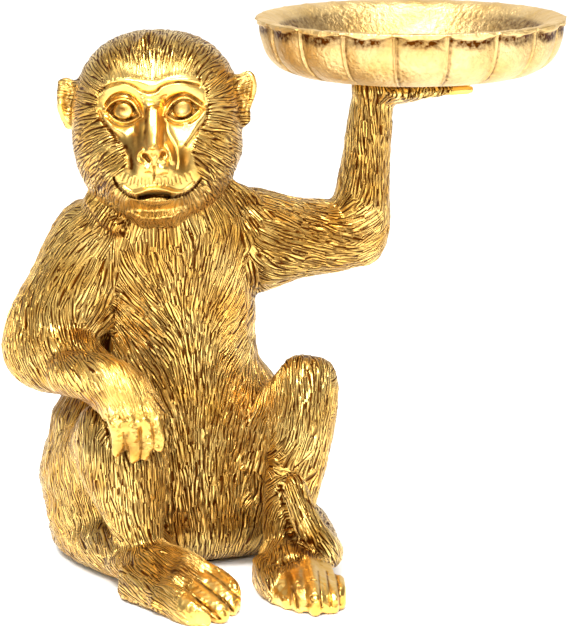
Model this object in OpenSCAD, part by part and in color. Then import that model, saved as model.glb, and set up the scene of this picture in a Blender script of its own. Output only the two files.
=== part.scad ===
// Seated monkey tealight holder. Solid resin castings meet face to face and are glued on steel
// dowels; a scalloped dish sits level on the palm of the raised left arm, on a pin up the wrist.
// Left and right are the monkey's own. The face looks along -Y, +Z is up, and the origin is the
// middle of the underside of the seat's felt.

/* [Trunk] */
// Height of the neck joint above the felt
trunk_h = 72; // [69:1:76]
// Width across the hips
hip_w = 52; // [49:1:54]
// Depth of the rump, back to belly
hip_d = 38; // [35:1:41]
// Width of the waist
waist_w = 33.4; // [31:0.2:35]
// Depth of the waist
waist_d = 31; // [28:1:34]
// Width across the chest
chest_w = 33.6; // [32:0.2:35]
// Depth of the chest
chest_d = 27; // [25:1:29]
// Width of the neck
neck_w = 19; // [17:1:21]
// Depth of the neck
neck_d = 17; // [15:1:19]
// How far the neck leans towards the resting arm
lean_side = 3.4; // [2.4:0.2:4.4]
// How far the neck leans forward of the seat
lean_front = 13; // [11:0.5:15]

/* [Head] */
// Width over the cheeks
head_w = 32; // [30:0.5:34]
// Height, chin to crown
head_h = 35.2; // [33:0.5:37]
// Depth of the skull, without the muzzle
head_d = 30; // [28:1:32]
// How far the muzzle stands out
muzzle_out = 7.6; // [6.6:0.2:8.4]
// How far the brow stands out
brow_out = 1.7; // [1:0.1:2.2]
// Spacing of the eyes
eye_gap = 11.4; // [10.6:0.2:12.2]
// Diameter of an eyeball
eye_d = 4.6; // [4:0.1:5]
// Height of an ear
ear_h = 10.4; // [9:0.2:11.6]
// How far an ear stands out from the head
ear_out = 3.2; // [2.6:0.2:4]

/* [Arms] */
// Distance between the shoulder joints
shoulder_span = 24; // [22:0.5:26]
// Length of an upper arm, shoulder to elbow
upper_arm_l = 23.6; // [22.6:0.2:24.6]
// Length of a forearm, elbow to wrist
forearm_l = 26.6; // [25.4:0.2:27.6]
// Thickness of the raised arm's shoulder
raised_shoulder_d = 19; // [18:0.2:20]
// Thickness of the resting arm's shoulder
resting_shoulder_d = 22; // [21:0.2:23]
// Thickness of the raised upper arm
raised_upper_arm_d = 14.6; // [13.6:0.2:15.6]
// Thickness of the raised elbow
raised_elbow_d = 12.4; // [11.6:0.2:13.2]
// Thickness of the resting upper arm
resting_upper_arm_d = 19.2; // [18.2:0.2:20.2]
// Thickness of the resting elbow
resting_elbow_d = 17; // [16:0.2:17.6]
// Thickness of a wrist
wrist_d = 8.6; // [8:0.2:9.4]
// Width of a hand across the knuckles
hand_w = 11.5; // [10.5:0.5:12.5]
// Length of the raised hand's palm
palm_l = 13; // [12:0.5:14]
// Thickness of the raised hand's palm
palm_t = 5; // [4.4:0.2:5.6]
// Length of a finger
finger_l = 7.5; // [6.5:0.5:8.5]
// Thickness of a finger
finger_d = 2.3; // [2:0.1:2.6]

/* [Legs and tail] */
// Length of a thigh, hip to knee
thigh_l = 29.5; // [28.5:0.5:30.5]
// Thickness of the left thigh at the hip
left_thigh_d = 24.5; // [23:0.5:26]
// Length of the right shin, knee to ankle
right_shin_l = 21; // [20:0.5:22]
// Length of the left shin, knee to ankle
left_shin_l = 29.4; // [28:0.2:30]
// Thickness of the right knee, folded over its calf
right_knee_d = 17; // [16:0.5:18]
// Thickness of the left knee
left_knee_d = 12.8; // [12:0.2:13.6]
// Thickness of an ankle
ankle_d = 9; // [8:0.5:10]
// Length of a foot, heel to the ball
foot_l = 20.7; // [20:0.2:22.4]
// Width of the right foot across the ball
right_foot_w = 17; // [16:0.2:18]
// Width of the left foot across the ball
left_foot_w = 12.4; // [11.6:0.2:13.2]
// Height of the instep
foot_h = 8; // [7:0.5:9]
// Length of the longest toe
toe_l = 14.2; // [13.4:0.2:15.4]
// Thickness of a toe
toe_d = 3.3; // [3:0.1:3.6]
// Thickness of the tail at its root
tail_root_d = 8; // [7:0.5:9]
// Thickness of the tail near its tip
tail_tip_d = 4.6; // [4:0.2:5.2]

/* [Dish] */
// Outer diameter of the dish
dish_d = 60; // [57:0.2:62]
// Height of the dish
dish_h = 11.5; // [10.6:0.2:12]
// Diameter of the flat underside
dish_foot_d = 23.6; // [22:0.2:26]
// Width of the rim
rim_w = 3.9; // [3:0.1:4.6]
// Diameter of the flat candle floor
floor_d = 41; // [39.5:0.5:43]
// Thickness of the dish under the candle floor
floor_t = 4.2; // [3.8:0.1:4.8]
// Number of petals round the wall
petals = 18; // [14:1:22]
// Depth of the grooves between the petals
groove_depth = 0.9; // [0.5:0.1:1.2]

/* [Dowels and felts] */
// Diameter of the steel dowels
dowel_d = 3; // [2.4:0.1:3.4]
// Length of a dowel
dowel_l = 12; // [10:0.5:14]
// Glue clearance all round a dowel
glue_gap = 0.1; // [0.05:0.01:0.2]
// Diameter of the steel pin under the dish
pin_d = 3; // [2.4:0.1:3.2]
// Length of the pin, up the wrist and into the dish
pin_l = 18; // [14:0.5:22]
// Depth of the pin's end in the dish
pin_in_dish = 2.4; // [1.8:0.1:2.8]
// Thickness of the felts
felt_t = 0.8; // [0.6:0.1:1]
// Diameter of the felt under the seat
seat_felt_d = 22; // [18:1:24]
// Diameter of the felt under a foot
foot_felt_d = 7; // [6:0.5:8]

/* [Hidden] */

resin = "darkgoldenrod";
steel = "silver";
felt = "dimgray";

// One overrun for every cut
over = 0.5;

// The chest is turned a little towards the raised arm, the hips a little the other way
chest_turn = 12.4;
pelvis_turn = -6.5;
// Turns are measured from straight ahead towards the left side, angles up from the level
right_arm_turn = -77.6;
right_arm_angle = -52.3;
right_forearm_turn = 42;
right_forearm_angle = -9.7;
left_arm_turn = 102.4;
left_arm_angle = 1;
left_forearm_turn = 31;
left_forearm_angle = 79.3;
palm_turn = 78;
right_thigh_turn = 1.5;
right_thigh_angle = 29.2;
left_thigh_turn = 36;
left_thigh_angle = 50.5;
right_shin_turn = 50;
right_shin_angle = -73.5;
left_shin_turn = -36;
left_shin_angle = -76;
right_foot_turn = 35;
left_foot_turn = 13;
head_turn = -4;

// Directions, places along the limbs and the joints that follow from them
function heading(turn, rise = 0) = [sin(turn) * cos(rise), -cos(turn) * cos(rise), sin(rise)];
function unit(v) = v / norm(v);
function flat(p, z = 0) = [p.x, p.y, z];

// The hips are set in the trunk, and the thigh that lies folded there is as thick as it leaves room for
hip_span = 0.4923 * hip_w;
right_thigh_d = 0.789 * hip_d;
chest_middle = [-0.18 * lean_side, -0.48 * lean_front, felt_t + 0.848 * trunk_h];
pelvis_middle = [0.02 * hip_span, 0.02 * hip_d, felt_t + 0.18 * trunk_h];
function beside(middle, span, turn, side) =
    middle + side * span / 2 * [cos(turn), sin(turn), 0];

right_shoulder = beside(chest_middle, shoulder_span, chest_turn, -1);
left_shoulder = beside(chest_middle, shoulder_span, chest_turn, 1);
right_hip = beside(pelvis_middle, hip_span, pelvis_turn, -1);
left_hip = beside(pelvis_middle, hip_span, pelvis_turn, 1);

right_elbow = right_shoulder + upper_arm_l * heading(right_arm_turn, right_arm_angle);
right_wrist = right_elbow + forearm_l * heading(right_forearm_turn, right_forearm_angle);
left_elbow = left_shoulder + upper_arm_l * heading(left_arm_turn, left_arm_angle);
left_wrist = left_elbow + forearm_l * heading(left_forearm_turn, left_forearm_angle);
right_knee = right_hip + thigh_l * heading(right_thigh_turn, right_thigh_angle);
left_knee = left_hip + thigh_l * heading(left_thigh_turn, left_thigh_angle);
right_ankle = right_knee + right_shin_l * heading(right_shin_turn, right_shin_angle);
left_ankle = left_knee + left_shin_l * heading(left_shin_turn, left_shin_angle);

// The dish sits level on the raised palm, its middle over the fingers' roots
dish_z = left_wrist.z + 0.64 * wrist_d;
dish_place = flat(left_wrist + 0.57 * palm_l * heading(palm_turn), dish_z);
pin_top = flat(left_wrist, dish_z + pin_in_dish);

// Where the tail leaves the back of the rump
tail_root = [0.1 * hip_w, 0.46 * hip_d, felt_t + 0.85 * tail_root_d];

neck_place = [-lean_side, -lean_front, felt_t + trunk_h];
head_place = neck_place + [-0.03 * head_w / 2, -0.05 * head_d, 0.38 * head_h];

// A smooth curve through the rows of a table, any number of columns wide
function row(rows, i) = rows[max(0, min(len(rows) - 1, i))];
function between(a, b, c, d, t) =
    0.5 * (2 * b + (c - a) * t + (2 * a - 5 * b + 4 * c - d) * t * t + (3 * b - a - 3 * c + d) * t * t * t);
function smooth_rows(rows, steps) = concat(
    [for (i = [0:len(rows) - 2]) for (k = [0:steps - 1])
        between(row(rows, i - 1), row(rows, i), row(rows, i + 1), row(rows, i + 2), k / steps)],
    [row(rows, len(rows) - 1)]);

function place_of(r) = [r[0], r[1], r[2]];
function tangent(rows, i) = unit(place_of(row(rows, i + 1)) - place_of(row(rows, i - 1)));

// An oval ring square to a limb: r holds its middle and its two half-widths
function ring(r, along, level, sides) =
    let (across = unit(cross(level, along)), up = cross(along, across))
    [for (k = [0:sides - 1])
        place_of(r) + across * r[3] * cos(360 * k / sides) + up * r[4] * sin(360 * k / sides)];

// A closed skin over rings of equally many points
module skin(rings) {
    sides = len(rings[0]);
    last = len(rings) - 1;
    points = [for (r = rings) each r];
    walls = [for (j = [0:last - 1]) for (k = [0:sides - 1])
        let (a = j * sides + k, b = j * sides + (k + 1) % sides)
        each [[a, a + sides, b], [b, a + sides, b + sides]]];
    first_cap = [for (k = [0:sides - 1]) k];
    last_cap = [for (k = [sides - 1:-1:0]) last * sides + k];
    polyhedron(points = points, faces = concat([first_cap], walls, [last_cap]));
}

// A rounded limb through rows of middle, half-width and half-depth
module limb(rows, level, sides = 16, steps = 2) {
    fine = smooth_rows(rows, steps);
    skin([for (i = [0:len(fine) - 1]) ring(fine[i], tangent(fine, i), level, sides)]);
}

// Rows from joint a to joint b: each share row holds how far along, half-width, half-depth
function along(a, b, rows) = [for (r = rows) concat(a + (b - a) * r[0], [r[1], r[2]])];

// A finger or toe as one hull over its root, knuckle and tip
module digit(root, knuckle, tip, d) {
    hull() {
        translate(root)
            sphere(d = d, $fn = 14);
        translate(knuckle)
            sphere(d = 0.94 * d, $fn = 14);
        translate(tip)
            sphere(d = 0.76 * d, $fn = 14);
    }
}

// A dowel through a joint, its middle on the glued faces
module dowel(middle, direction, d, l) {
    turn = atan2(direction.y, direction.x);
    tilt = acos(direction.z / norm(direction));
    translate(middle)
        rotate([0, tilt, turn])
            cylinder(d = d, h = l, center = true, $fn = 48);
}

// Where each dowel crosses its joint, and its direction. The hips' dowels lie in the thighs
neck_dowel_way = [neck_place, head_place - neck_place];
raised_dowel_way = [left_shoulder + [0.14 * raised_shoulder_d, 0, 0], left_shoulder - chest_middle];
resting_dowel_way = [right_shoulder - [0.14 * resting_shoulder_d, 0, 0], right_shoulder - chest_middle];
right_hip_dowel_way = [0.26 * right_hip + 0.74 * right_knee, right_knee - right_hip];
left_hip_dowel_way = [0.5 * left_hip + 0.5 * left_knee, left_knee - left_hip];
tail_dowel_way = [tail_root - [0.05, 0.1, 0] * tail_root_d, [1, 0.55, -0.15]];

module dowel_at(way, extra = 0) {
    dowel(way[0], way[1], dowel_d + 2 * extra, dowel_l + 2 * extra);
}

// The dish's pin stands up the middle of the wrist
module dish_pin_at(extra = 0) {
    dowel(pin_top - [0, 0, pin_l / 2], [0, 0, 1], pin_d + 2 * extra, pin_l + 2 * extra);
}

// TRUNK: rows of height share, side share and front share of the lean, width and depth
trunk_rows = [
    [0.000, 0.00, 0.00, 0.78 * hip_w, 0.66 * hip_d],
    [0.030, 0.05, 0.07, 0.91 * hip_w, 0.84 * hip_d],
    [0.110, 0.20, 0.12, hip_w, hip_d],
    [0.250, 0.30, 0.12, 0.96 * hip_w, 1.02 * hip_d],
    [0.390, 0.35, 0.14, 0.93 * hip_w, 0.93 * hip_d],
    [0.530, 0.45, 0.25, waist_w, waist_d],
    [0.665, 0.60, 0.39, chest_w, 1.06 * chest_d],
    [0.780, 0.72, 0.54, 1.02 * chest_w, chest_d],
    [0.875, 0.80, 0.65, chest_w, 0.94 * chest_d],
    [0.945, 0.88, 0.77, 0.95 * chest_w, 0.86 * chest_d],
    [1.000, 0.95, 0.88, 1.52 * neck_w, 1.20 * neck_d],
    [1.040, 1.00, 0.94, 1.04 * neck_w, neck_d],
    [1.068, 1.02, 0.98, 0.56 * neck_w, 0.56 * neck_d]];

module trunk_form() {
    rows = [for (r = trunk_rows)
        [-r[1] * lean_side, -r[2] * lean_front, felt_t + r[0] * trunk_h, r[3] / 2, r[4] / 2]];
    fine = smooth_rows(rows, 2);
    level = [sin(chest_turn), -cos(chest_turn), 0];
    skin([for (r = fine) ring(r, [0, 0, 1], level, 28)]);
}

module trunk() {
    color(resin)
        difference() {
            trunk_form();
            for (way = [neck_dowel_way, raised_dowel_way, resting_dowel_way, right_hip_dowel_way,
                        left_hip_dowel_way, tail_dowel_way])
                dowel_at(way, glue_gap);
        }
}

// HEAD: a squarish egg with the face pushed out of it. Each face row holds its middle across and
// up, its spread across and up, all as shares of the half-width and half-height, and its push
head_roundness = 2.4;
eye_x_share = eye_gap / head_w;
face_rows = [
    [0.00, -0.44, 0.50, 0.34, muzzle_out],
    [0.00, -0.86, 0.34, 0.20, 0.35 * muzzle_out],
    [0.00, 0.10, 0.13, 0.28, 0.42 * muzzle_out],
    [0.00, -0.16, 0.17, 0.10, 0.22 * muzzle_out],
    [eye_x_share, 0.28, 0.24, 0.17, -1.1 * brow_out],
    [-eye_x_share, 0.28, 0.24, 0.17, -1.1 * brow_out],
    [0.9 * eye_x_share, 0.50, 0.30, 0.09, brow_out],
    [-0.9 * eye_x_share, 0.50, 0.30, 0.09, brow_out],
    [0.46, -0.10, 0.16, 0.22, 0.5 * brow_out],
    [-0.46, -0.10, 0.16, 0.22, 0.5 * brow_out]];

function egg(v) = pow(pow(abs(v.x) / (head_w / 2), head_roundness)
    + pow(abs(v.y) / (head_d / 2), head_roundness)
    + pow(abs(v.z) / (head_h / 2), head_roundness), -1 / head_roundness);
function bell(x, spread) = exp(-pow(x / spread, 2));
function face_push(v, r) = let (x = v.x * r / (head_w / 2), z = v.z * r / (head_h / 2))
    [for (f = face_rows) f[4] * bell(x - f[0], f[2]) * bell(z - f[1], f[3])]
    * [for (f = face_rows) max(0, -v.y)];
function head_radius(v) = let (r = egg(v)) r + face_push(v, r);

module head_form() {
    columns = 44;
    lines = 26;
    // Columns crowd towards the face, where the share of a turn runs slowly
    function turn_of(k) = let (s = k / columns) 360 * s - 26 * sin(360 * s);
    translate(head_place)
        rotate(head_turn)
            skin([for (j = [0:lines]) let (rise = -86 + 172 * j / lines)
                [for (k = [0:columns - 1])
                    let (a = -90 + turn_of(k), v = [cos(rise) * cos(a), cos(rise) * sin(a), sin(rise)])
                    v * head_radius(v)]]);
}

// Each eye is a ball seen through the almond opening between its lids
module eyes() {
    for (side = [-1, 1])
        translate([side * eye_gap / 2, -0.5 * head_d + 0.82 * eye_d, 0.28 * head_h / 2]) {
            sphere(d = eye_d, $fn = 24);
            difference() {
                sphere(d = 1.5 * eye_d, $fn = 32);
                rotate([90, 0, 0])
                    linear_extrude(eye_d)
                        intersection_for(up = [-0.2, 0.2])
                            translate([0, up * eye_d])
                                circle(d = 1.32 * eye_d, $fn = 32);
            }
        }
}

// One ear: a cupped flap, its hollow turned forward
module ear(side) {
    flap_t = 0.26 * ear_h;
    root = [side * 0.44 * head_w, -0.02 * head_d, 0.12 * head_h];
    difference() {
        translate(root)
            hull() {
                for (z = [-0.40, 0.38])
                    translate([0, 0, z * ear_h])
                        sphere(d = flap_t, $fn = 14);
                for (z = [-0.26, 0.32])
                    translate([side * (ear_out + 0.02 * head_w), 0, z * ear_h])
                        sphere(d = 0.8 * flap_t, $fn = 14);
            }
        translate(root + [side * 0.5 * ear_out, -0.75 * flap_t, 0])
            scale([0.42 * ear_h / flap_t, 1, 0.62 * ear_h / flap_t])
                sphere(d = flap_t, $fn = 24);
    }
}

module head() {
    color(resin)
        difference() {
            union() {
                head_form();
                translate(head_place)
                    rotate(head_turn) {
                        eyes();
                        ear(-1);
                        ear(1);
                    }
            }
            trunk_form();
            dowel_at(neck_dowel_way, glue_gap);
        }
}

// ARMS: the share rows hold how far along the bone, half-width and half-depth
function upper_arm_rows(a, b, shoulder_d, upper_arm_d, elbow_d) = along(a, b, [
    [-0.28, 0.28 * shoulder_d, 0.28 * shoulder_d],
    [-0.12, 0.51 * shoulder_d, 0.48 * shoulder_d],
    [0.15, 0.55 * shoulder_d, 0.50 * shoulder_d],
    [0.50, 0.54 * upper_arm_d, 0.52 * upper_arm_d],
    [0.82, 0.49 * upper_arm_d, 0.48 * upper_arm_d],
    [1.04, 0.47 * elbow_d, 0.46 * elbow_d],
    [1.18, 0.34 * elbow_d, 0.34 * elbow_d],
    [1.23, 0.14 * elbow_d, 0.14 * elbow_d]]);
function forearm_rows(a, b, elbow_d) = along(a, b, [
    [-0.22, 0.18 * elbow_d, 0.18 * elbow_d],
    [-0.16, 0.38 * elbow_d, 0.38 * elbow_d],
    [0.05, 0.50 * elbow_d, 0.49 * elbow_d],
    [0.30, 0.26 * elbow_d + 0.26 * wrist_d, 0.30 * elbow_d + 0.26 * wrist_d],
    [0.62, 0.54 * wrist_d, 0.53 * wrist_d],
    [0.95, 0.50 * wrist_d, 0.50 * wrist_d],
    [1.10, 0.40 * wrist_d, 0.42 * wrist_d]]);

module raised_arm() {
    reach = heading(palm_turn);
    across = [reach.y, -reach.x, 0];
    palm_z = dish_z - palm_t / 2;
    heel = flat(left_wrist, palm_z) - 0.28 * palm_l * reach;
    roots = heel + 1.1 * palm_l * reach;
    color(resin)
        difference() {
            union() {
                limb(upper_arm_rows(left_shoulder, left_elbow, raised_shoulder_d, raised_upper_arm_d,
                    raised_elbow_d), [0, -1, 0]);
                limb(forearm_rows(left_elbow, left_wrist, raised_elbow_d), [0, -1, 0]);
                limb(along(heel, roots, [
                    [0.00, 0.20 * hand_w, 0.25 * palm_t],
                    [0.08, 0.40 * hand_w, 0.62 * palm_t],
                    [0.40, 0.46 * hand_w, 0.66 * palm_t],
                    [0.80, 0.50 * hand_w, 0.52 * palm_t],
                    [1.00, 0.42 * hand_w, 0.30 * palm_t]]), [0, 0, 1]);
                for (i = [-1.5:1:1.5])
                    let (spot = flat(roots, dish_z - 0.62 * finger_d) + i * 0.25 * hand_w * across)
                        digit(spot - 0.2 * palm_l * reach, spot + 0.5 * finger_l * reach,
                            spot + finger_l * reach + 0.1 * i * finger_l * across, finger_d);
                let (spot = flat(heel, dish_z - 0.7 * finger_d) - 0.46 * hand_w * across)
                    digit(spot + 0.2 * palm_l * reach, spot + 0.4 * palm_l * reach - 0.1 * hand_w * across,
                        spot + 0.7 * palm_l * reach - 0.16 * hand_w * across, finger_d);
            }
            trunk_form();
            dowel_at(raised_dowel_way, glue_gap);
            dish_pin_at(glue_gap);
            dish_space();
        }
}

module resting_arm_form() {
    knuckles = right_wrist + [0.22 * hand_w, -0.42 * hand_w, -0.5 * hand_w];
    limb(upper_arm_rows(right_shoulder, right_elbow, resting_shoulder_d, resting_upper_arm_d,
        resting_elbow_d), [0, -1, 0]);
    limb(forearm_rows(right_elbow, right_wrist, resting_elbow_d), [0, 0, 1]);
    limb(along(right_wrist, knuckles, [
        [-0.30, 0.34 * wrist_d, 0.34 * wrist_d],
        [0.00, 0.46 * wrist_d, 0.44 * wrist_d],
        [0.60, 0.44 * hand_w, 0.36 * wrist_d],
        [1.00, 0.45 * hand_w, 0.27 * wrist_d],
        [1.15, 0.38 * hand_w, 0.15 * wrist_d]]), [0, -0.77, 0.64]);
    for (i = [-1.5:1:1.5])
        let (spot = knuckles + i * 0.27 * hand_w * [0.97, -0.2, -0.08])
            digit(spot, spot + [0, -0.05 * finger_l, -0.5 * finger_l],
                spot + [0, 0.06 * finger_l, -(i > 1 ? 0.6 : 1) * finger_l], finger_d);
}

module resting_arm() {
    color(resin)
        difference() {
            resting_arm_form();
            trunk_form();
            right_leg_form();
            dowel_at(resting_dowel_way, glue_gap);
        }
}

// LEGS: thigh, shin and foot of one leg, the knee and its calf as thick as knee_d
function thigh_rows(a, b, thigh_d, knee_d) = along(a, b, [
    [-0.32, 0.30 * thigh_d, 0.30 * thigh_d],
    [-0.18, 0.46 * thigh_d, 0.44 * thigh_d],
    [0.10, 0.53 * thigh_d, 0.50 * thigh_d],
    [0.45, 0.47 * thigh_d, 0.46 * thigh_d],
    [0.78, 0.54 * knee_d, 0.54 * knee_d],
    [1.00, 0.48 * knee_d, 0.47 * knee_d],
    [1.00 + 0.26 * knee_d / thigh_l, 0.32 * knee_d, 0.32 * knee_d],
    [1.00 + 0.34 * knee_d / thigh_l, 0.12 * knee_d, 0.12 * knee_d]]);
function shin_rows(a, b, knee_d) = along(a, b, [
    [-0.42 * knee_d / norm(b - a), 0.14 * knee_d, 0.14 * knee_d],
    [-0.34 * knee_d / norm(b - a), 0.34 * knee_d, 0.32 * knee_d],
    [0.00, 0.49 * knee_d, 0.46 * knee_d],
    [0.30, 0.51 * knee_d, 0.48 * knee_d],
    [0.65, 0.24 * knee_d + 0.26 * ankle_d, 0.22 * knee_d + 0.26 * ankle_d],
    [0.92, 0.52 * ankle_d, 0.54 * ankle_d],
    [1.06, 0.44 * ankle_d, 0.50 * ankle_d]]);

// A foot flat on its felt: toe rows hold across, how far back the root lies and the length
module foot(ankle, turn, side, foot_w, toes) {
    ahead = heading(turn);
    inward = side * [-ahead.y, ahead.x, 0];
    heel = flat(ankle, felt_t) - 0.1 * foot_l * ahead;
    ball = heel + foot_l * ahead;
    lift = [0, 0, 1];
    difference() {
        union() {
            limb([for (r = [
                [-0.14, 0.20, 0.20, 0.18],
                [-0.10, 0.34, 0.36, 0.32],
                [0.12, 0.42, 0.48, 0.52],
                [0.50, 0.46, 0.52, 0.52],
                [0.82, 0.50, 0.34, 0.40],
                [1.00, 0.48, 0.26, 0.30],
                [1.10, 0.40, 0.18, 0.18]])
                concat(heel + r[0] * foot_l * ahead + r[2] * foot_h * lift, [r[1] * foot_w, r[3] * foot_h])],
                [0, 0, 1]);
            for (t = toes)
                let (root = ball + t[0] * foot_w * inward - t[1] * foot_l * ahead)
                    digit(root + 0.62 * toe_d * lift, root + 0.5 * t[2] * toe_l * ahead + 0.78 * toe_d * lift,
                        root + t[2] * toe_l * ahead + t[3] * foot_w * inward + 0.42 * toe_d * lift, toe_d);
        }
        translate([ball.x, ball.y, felt_t - foot_h / 2])
            cube([3 * foot_l, 3 * foot_l, foot_h], center = true);
    }
}

right_toe_shares = [[0.43, 0.32, 0.66, 0.04], [0.15, 0.12, 0.88, 0.05], [-0.13, 0.10, 0.98, 0.02],
                    [-0.40, 0.16, 0.98, -0.04]];
left_toe_shares = [[0.44, 0.42, 0.46, 0.06], [0.20, 0.10, 0.70, 0.04], [0.00, 0.08, 0.76, 0.01],
                   [-0.20, 0.12, 0.74, -0.01], [-0.38, 0.20, 0.70, -0.03]];

// The right leg lies folded, so its calf spreads along the ground from hip to heel
right_calf_back = flat(right_hip - [0.08 * right_thigh_d, 0, 0], felt_t + 0.14 * right_thigh_d);
right_calf_front = flat(right_ankle, felt_t + 0.5 * ankle_d);

module right_leg_form() {
    limb(thigh_rows(right_hip, right_knee, right_thigh_d, right_knee_d), [0, 0, 1]);
    limb(shin_rows(right_knee, right_ankle, right_knee_d), [0, -1, 0]);
    limb(along(right_calf_back, right_calf_front, [
        [-0.20, 0.22 * right_thigh_d, 0.12 * right_thigh_d],
        [0.00, 0.40 * right_thigh_d, 0.28 * right_thigh_d],
        [0.50, 0.37 * right_thigh_d, 0.24 * right_thigh_d],
        [0.95, 0.76 * ankle_d, 0.58 * ankle_d],
        [1.08, 0.50 * ankle_d, 0.42 * ankle_d]]), [0, 0, 1]);
}

module right_leg() {
    color(resin)
        difference() {
            union() {
                right_leg_form();
                foot(right_ankle, right_foot_turn, 1, right_foot_w, right_toe_shares);
            }
            trunk_form();
            below_feet();
            dowel_at(right_hip_dowel_way, glue_gap);
        }
}

module left_leg_form() {
    limb(thigh_rows(left_hip, left_knee, left_thigh_d, left_knee_d), [0, 0, 1]);
    limb(shin_rows(left_knee, left_ankle, left_knee_d), [0, -1, 0]);
}

module left_leg() {
    color(resin)
        difference() {
            union() {
                left_leg_form();
                foot(left_ankle, left_foot_turn, -1, left_foot_w, left_toe_shares);
            }
            trunk_form();
            below_feet();
            dowel_at(left_hip_dowel_way, glue_gap);
        }
}

// Everything under the castings' common underside
module below_feet() {
    translate([0, 0, felt_t - hip_w / 2])
        cube([4 * hip_w, 4 * hip_w, hip_w], center = true);
}

// TAIL: round the left hip on the ground, then bent up against the left shin
tail_bend = left_ankle + [0.66 * ankle_d + 0.2 * tail_root_d, -0.6 * ankle_d, 0];
tail_tip = left_ankle + (left_knee - left_ankle) * 0.44 + [0, -0.5 * left_knee_d - 0.4 * tail_tip_d, 0];
tail_rows = [
    concat(tail_root + [-0.5, -0.6, 0] * tail_root_d, [0.42, 0.42] * tail_root_d),
    concat(tail_root + [0.3, 0.2, 0] * tail_root_d, [0.50, 0.50] * tail_root_d),
    concat([0.37 * hip_w, 0.42 * hip_d, felt_t + 0.46 * tail_root_d], [0.46, 0.46] * tail_root_d),
    concat([0.48 * hip_w, 0.14 * hip_d, felt_t + 0.44 * tail_root_d], [0.44, 0.44] * tail_root_d),
    concat([tail_bend.x, tail_bend.y + ankle_d, felt_t + 0.46 * tail_root_d], [0.42, 0.42] * tail_root_d),
    concat(flat(tail_bend, felt_t + 0.76 * tail_root_d), [0.41, 0.41] * tail_root_d),
    concat(flat(tail_bend * 0.55 + tail_tip * 0.45, felt_t + 1.25 * tail_root_d)
        + [0, -0.2, 0] * tail_root_d, [0.39, 0.38] * tail_root_d),
    concat(tail_tip + [0.18, -0.06, -0.75] * tail_root_d, [0.60, 0.58] * tail_tip_d),
    concat(tail_tip + [0, 0.02, -0.1] * tail_root_d, [0.48, 0.46] * tail_tip_d),
    concat(tail_tip + [-0.02, 0.05, 0.12] * tail_root_d, [0.22, 0.22] * tail_tip_d)];

module tail() {
    color(resin)
        difference() {
            limb(tail_rows, [0.1, 0.05, 1], 14, 3);
            trunk_form();
            left_leg_form();
            foot(left_ankle, left_foot_turn, -1, left_foot_w, left_toe_shares);
            below_feet();
            dowel_at(tail_dowel_way, glue_gap);
        }
}

// DISH: the wall's rows hold radius share of the half-diameter above the foot and height share
wall_shares = [[0.00, 0.00], [0.30, 0.015], [0.588, 0.07], [0.76, 0.16], [0.857, 0.274],
               [0.945, 0.478], [0.989, 0.68], [1.00, 1.00]];
module dish_wall() {
    samples = 6;
    grow = dish_d / 2 - dish_foot_d / 2;
    fine = smooth_rows(wall_shares, 2);
    skin([for (w = fine)
        [for (k = [0:petals * samples - 1])
            let (a = 360 * k / (petals * samples), bulge = abs(sin(petals * a / 2)),
                r = dish_foot_d / 2 + w[0] * grow - groove_depth * w[0] * (1 - bulge))
            [r * cos(a), r * sin(a), w[1] * dish_h]]]);
}

module dish_space() {
    translate(dish_place)
        cylinder(d = dish_d, h = dish_h);
}

well_top_d = dish_d - 2 * rim_w;
module dish() {
    color(resin)
        difference() {
            translate(dish_place)
                difference() {
                    dish_wall();
                    rotate_extrude($fn = 96)
                        polygon([
                            [0, floor_t],
                            [floor_d / 2, floor_t],
                            [0.35 * floor_d / 2 + 0.65 * well_top_d / 2, floor_t + 0.18 * (dish_h - floor_t)],
                            [0.96 * well_top_d / 2, floor_t + 0.62 * (dish_h - floor_t)],
                            [well_top_d / 2, dish_h],
                            [well_top_d / 2, dish_h + over],
                            [0, dish_h + over]]);
                }
            dish_pin_at(glue_gap);
        }
}

// FELTS
module felt_pad(place, d) {
    color(felt)
        translate(place)
            cylinder(d = d, h = felt_t, $fn = 64);
}

module ball_of_foot_felt(ankle, turn) {
    felt_pad(flat(ankle + 0.72 * foot_l * heading(turn)), foot_felt_d);
}

module steel_dowel(way) {
    color(steel)
        dowel_at(way);
}

trunk();
head();
raised_arm();
resting_arm();
right_leg();
left_leg();
tail();
dish();
steel_dowel(neck_dowel_way);  // neck_dowel
steel_dowel(resting_dowel_way);  // resting_arm_dowel
steel_dowel(right_hip_dowel_way);  // right_hip_dowel
steel_dowel(left_hip_dowel_way);  // left_hip_dowel
steel_dowel(tail_dowel_way);  // tail_dowel
steel_dowel(raised_dowel_way);  // raised_arm_dowel
color(steel) dish_pin_at();  // dish_pin
felt_pad([0, 0, 0], seat_felt_d);  // seat_felt
ball_of_foot_felt(right_ankle, right_foot_turn);  // right_foot_felt
ball_of_foot_felt(left_ankle, left_foot_turn);  // left_foot_felt
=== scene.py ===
# Looks for the seated monkey tealight holder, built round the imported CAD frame.
# The castings are copied, joined and sculpted as one skin, combed with fur, and parted again into
# one piece for each casting. The sculptor's marks are given as places in the photograph's frame.
import math

import bpy
import bmesh
import numpy as np
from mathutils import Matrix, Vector, noise
from mathutils.bvhtree import BVHTree
from mathutils.kdtree import KDTree


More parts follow.
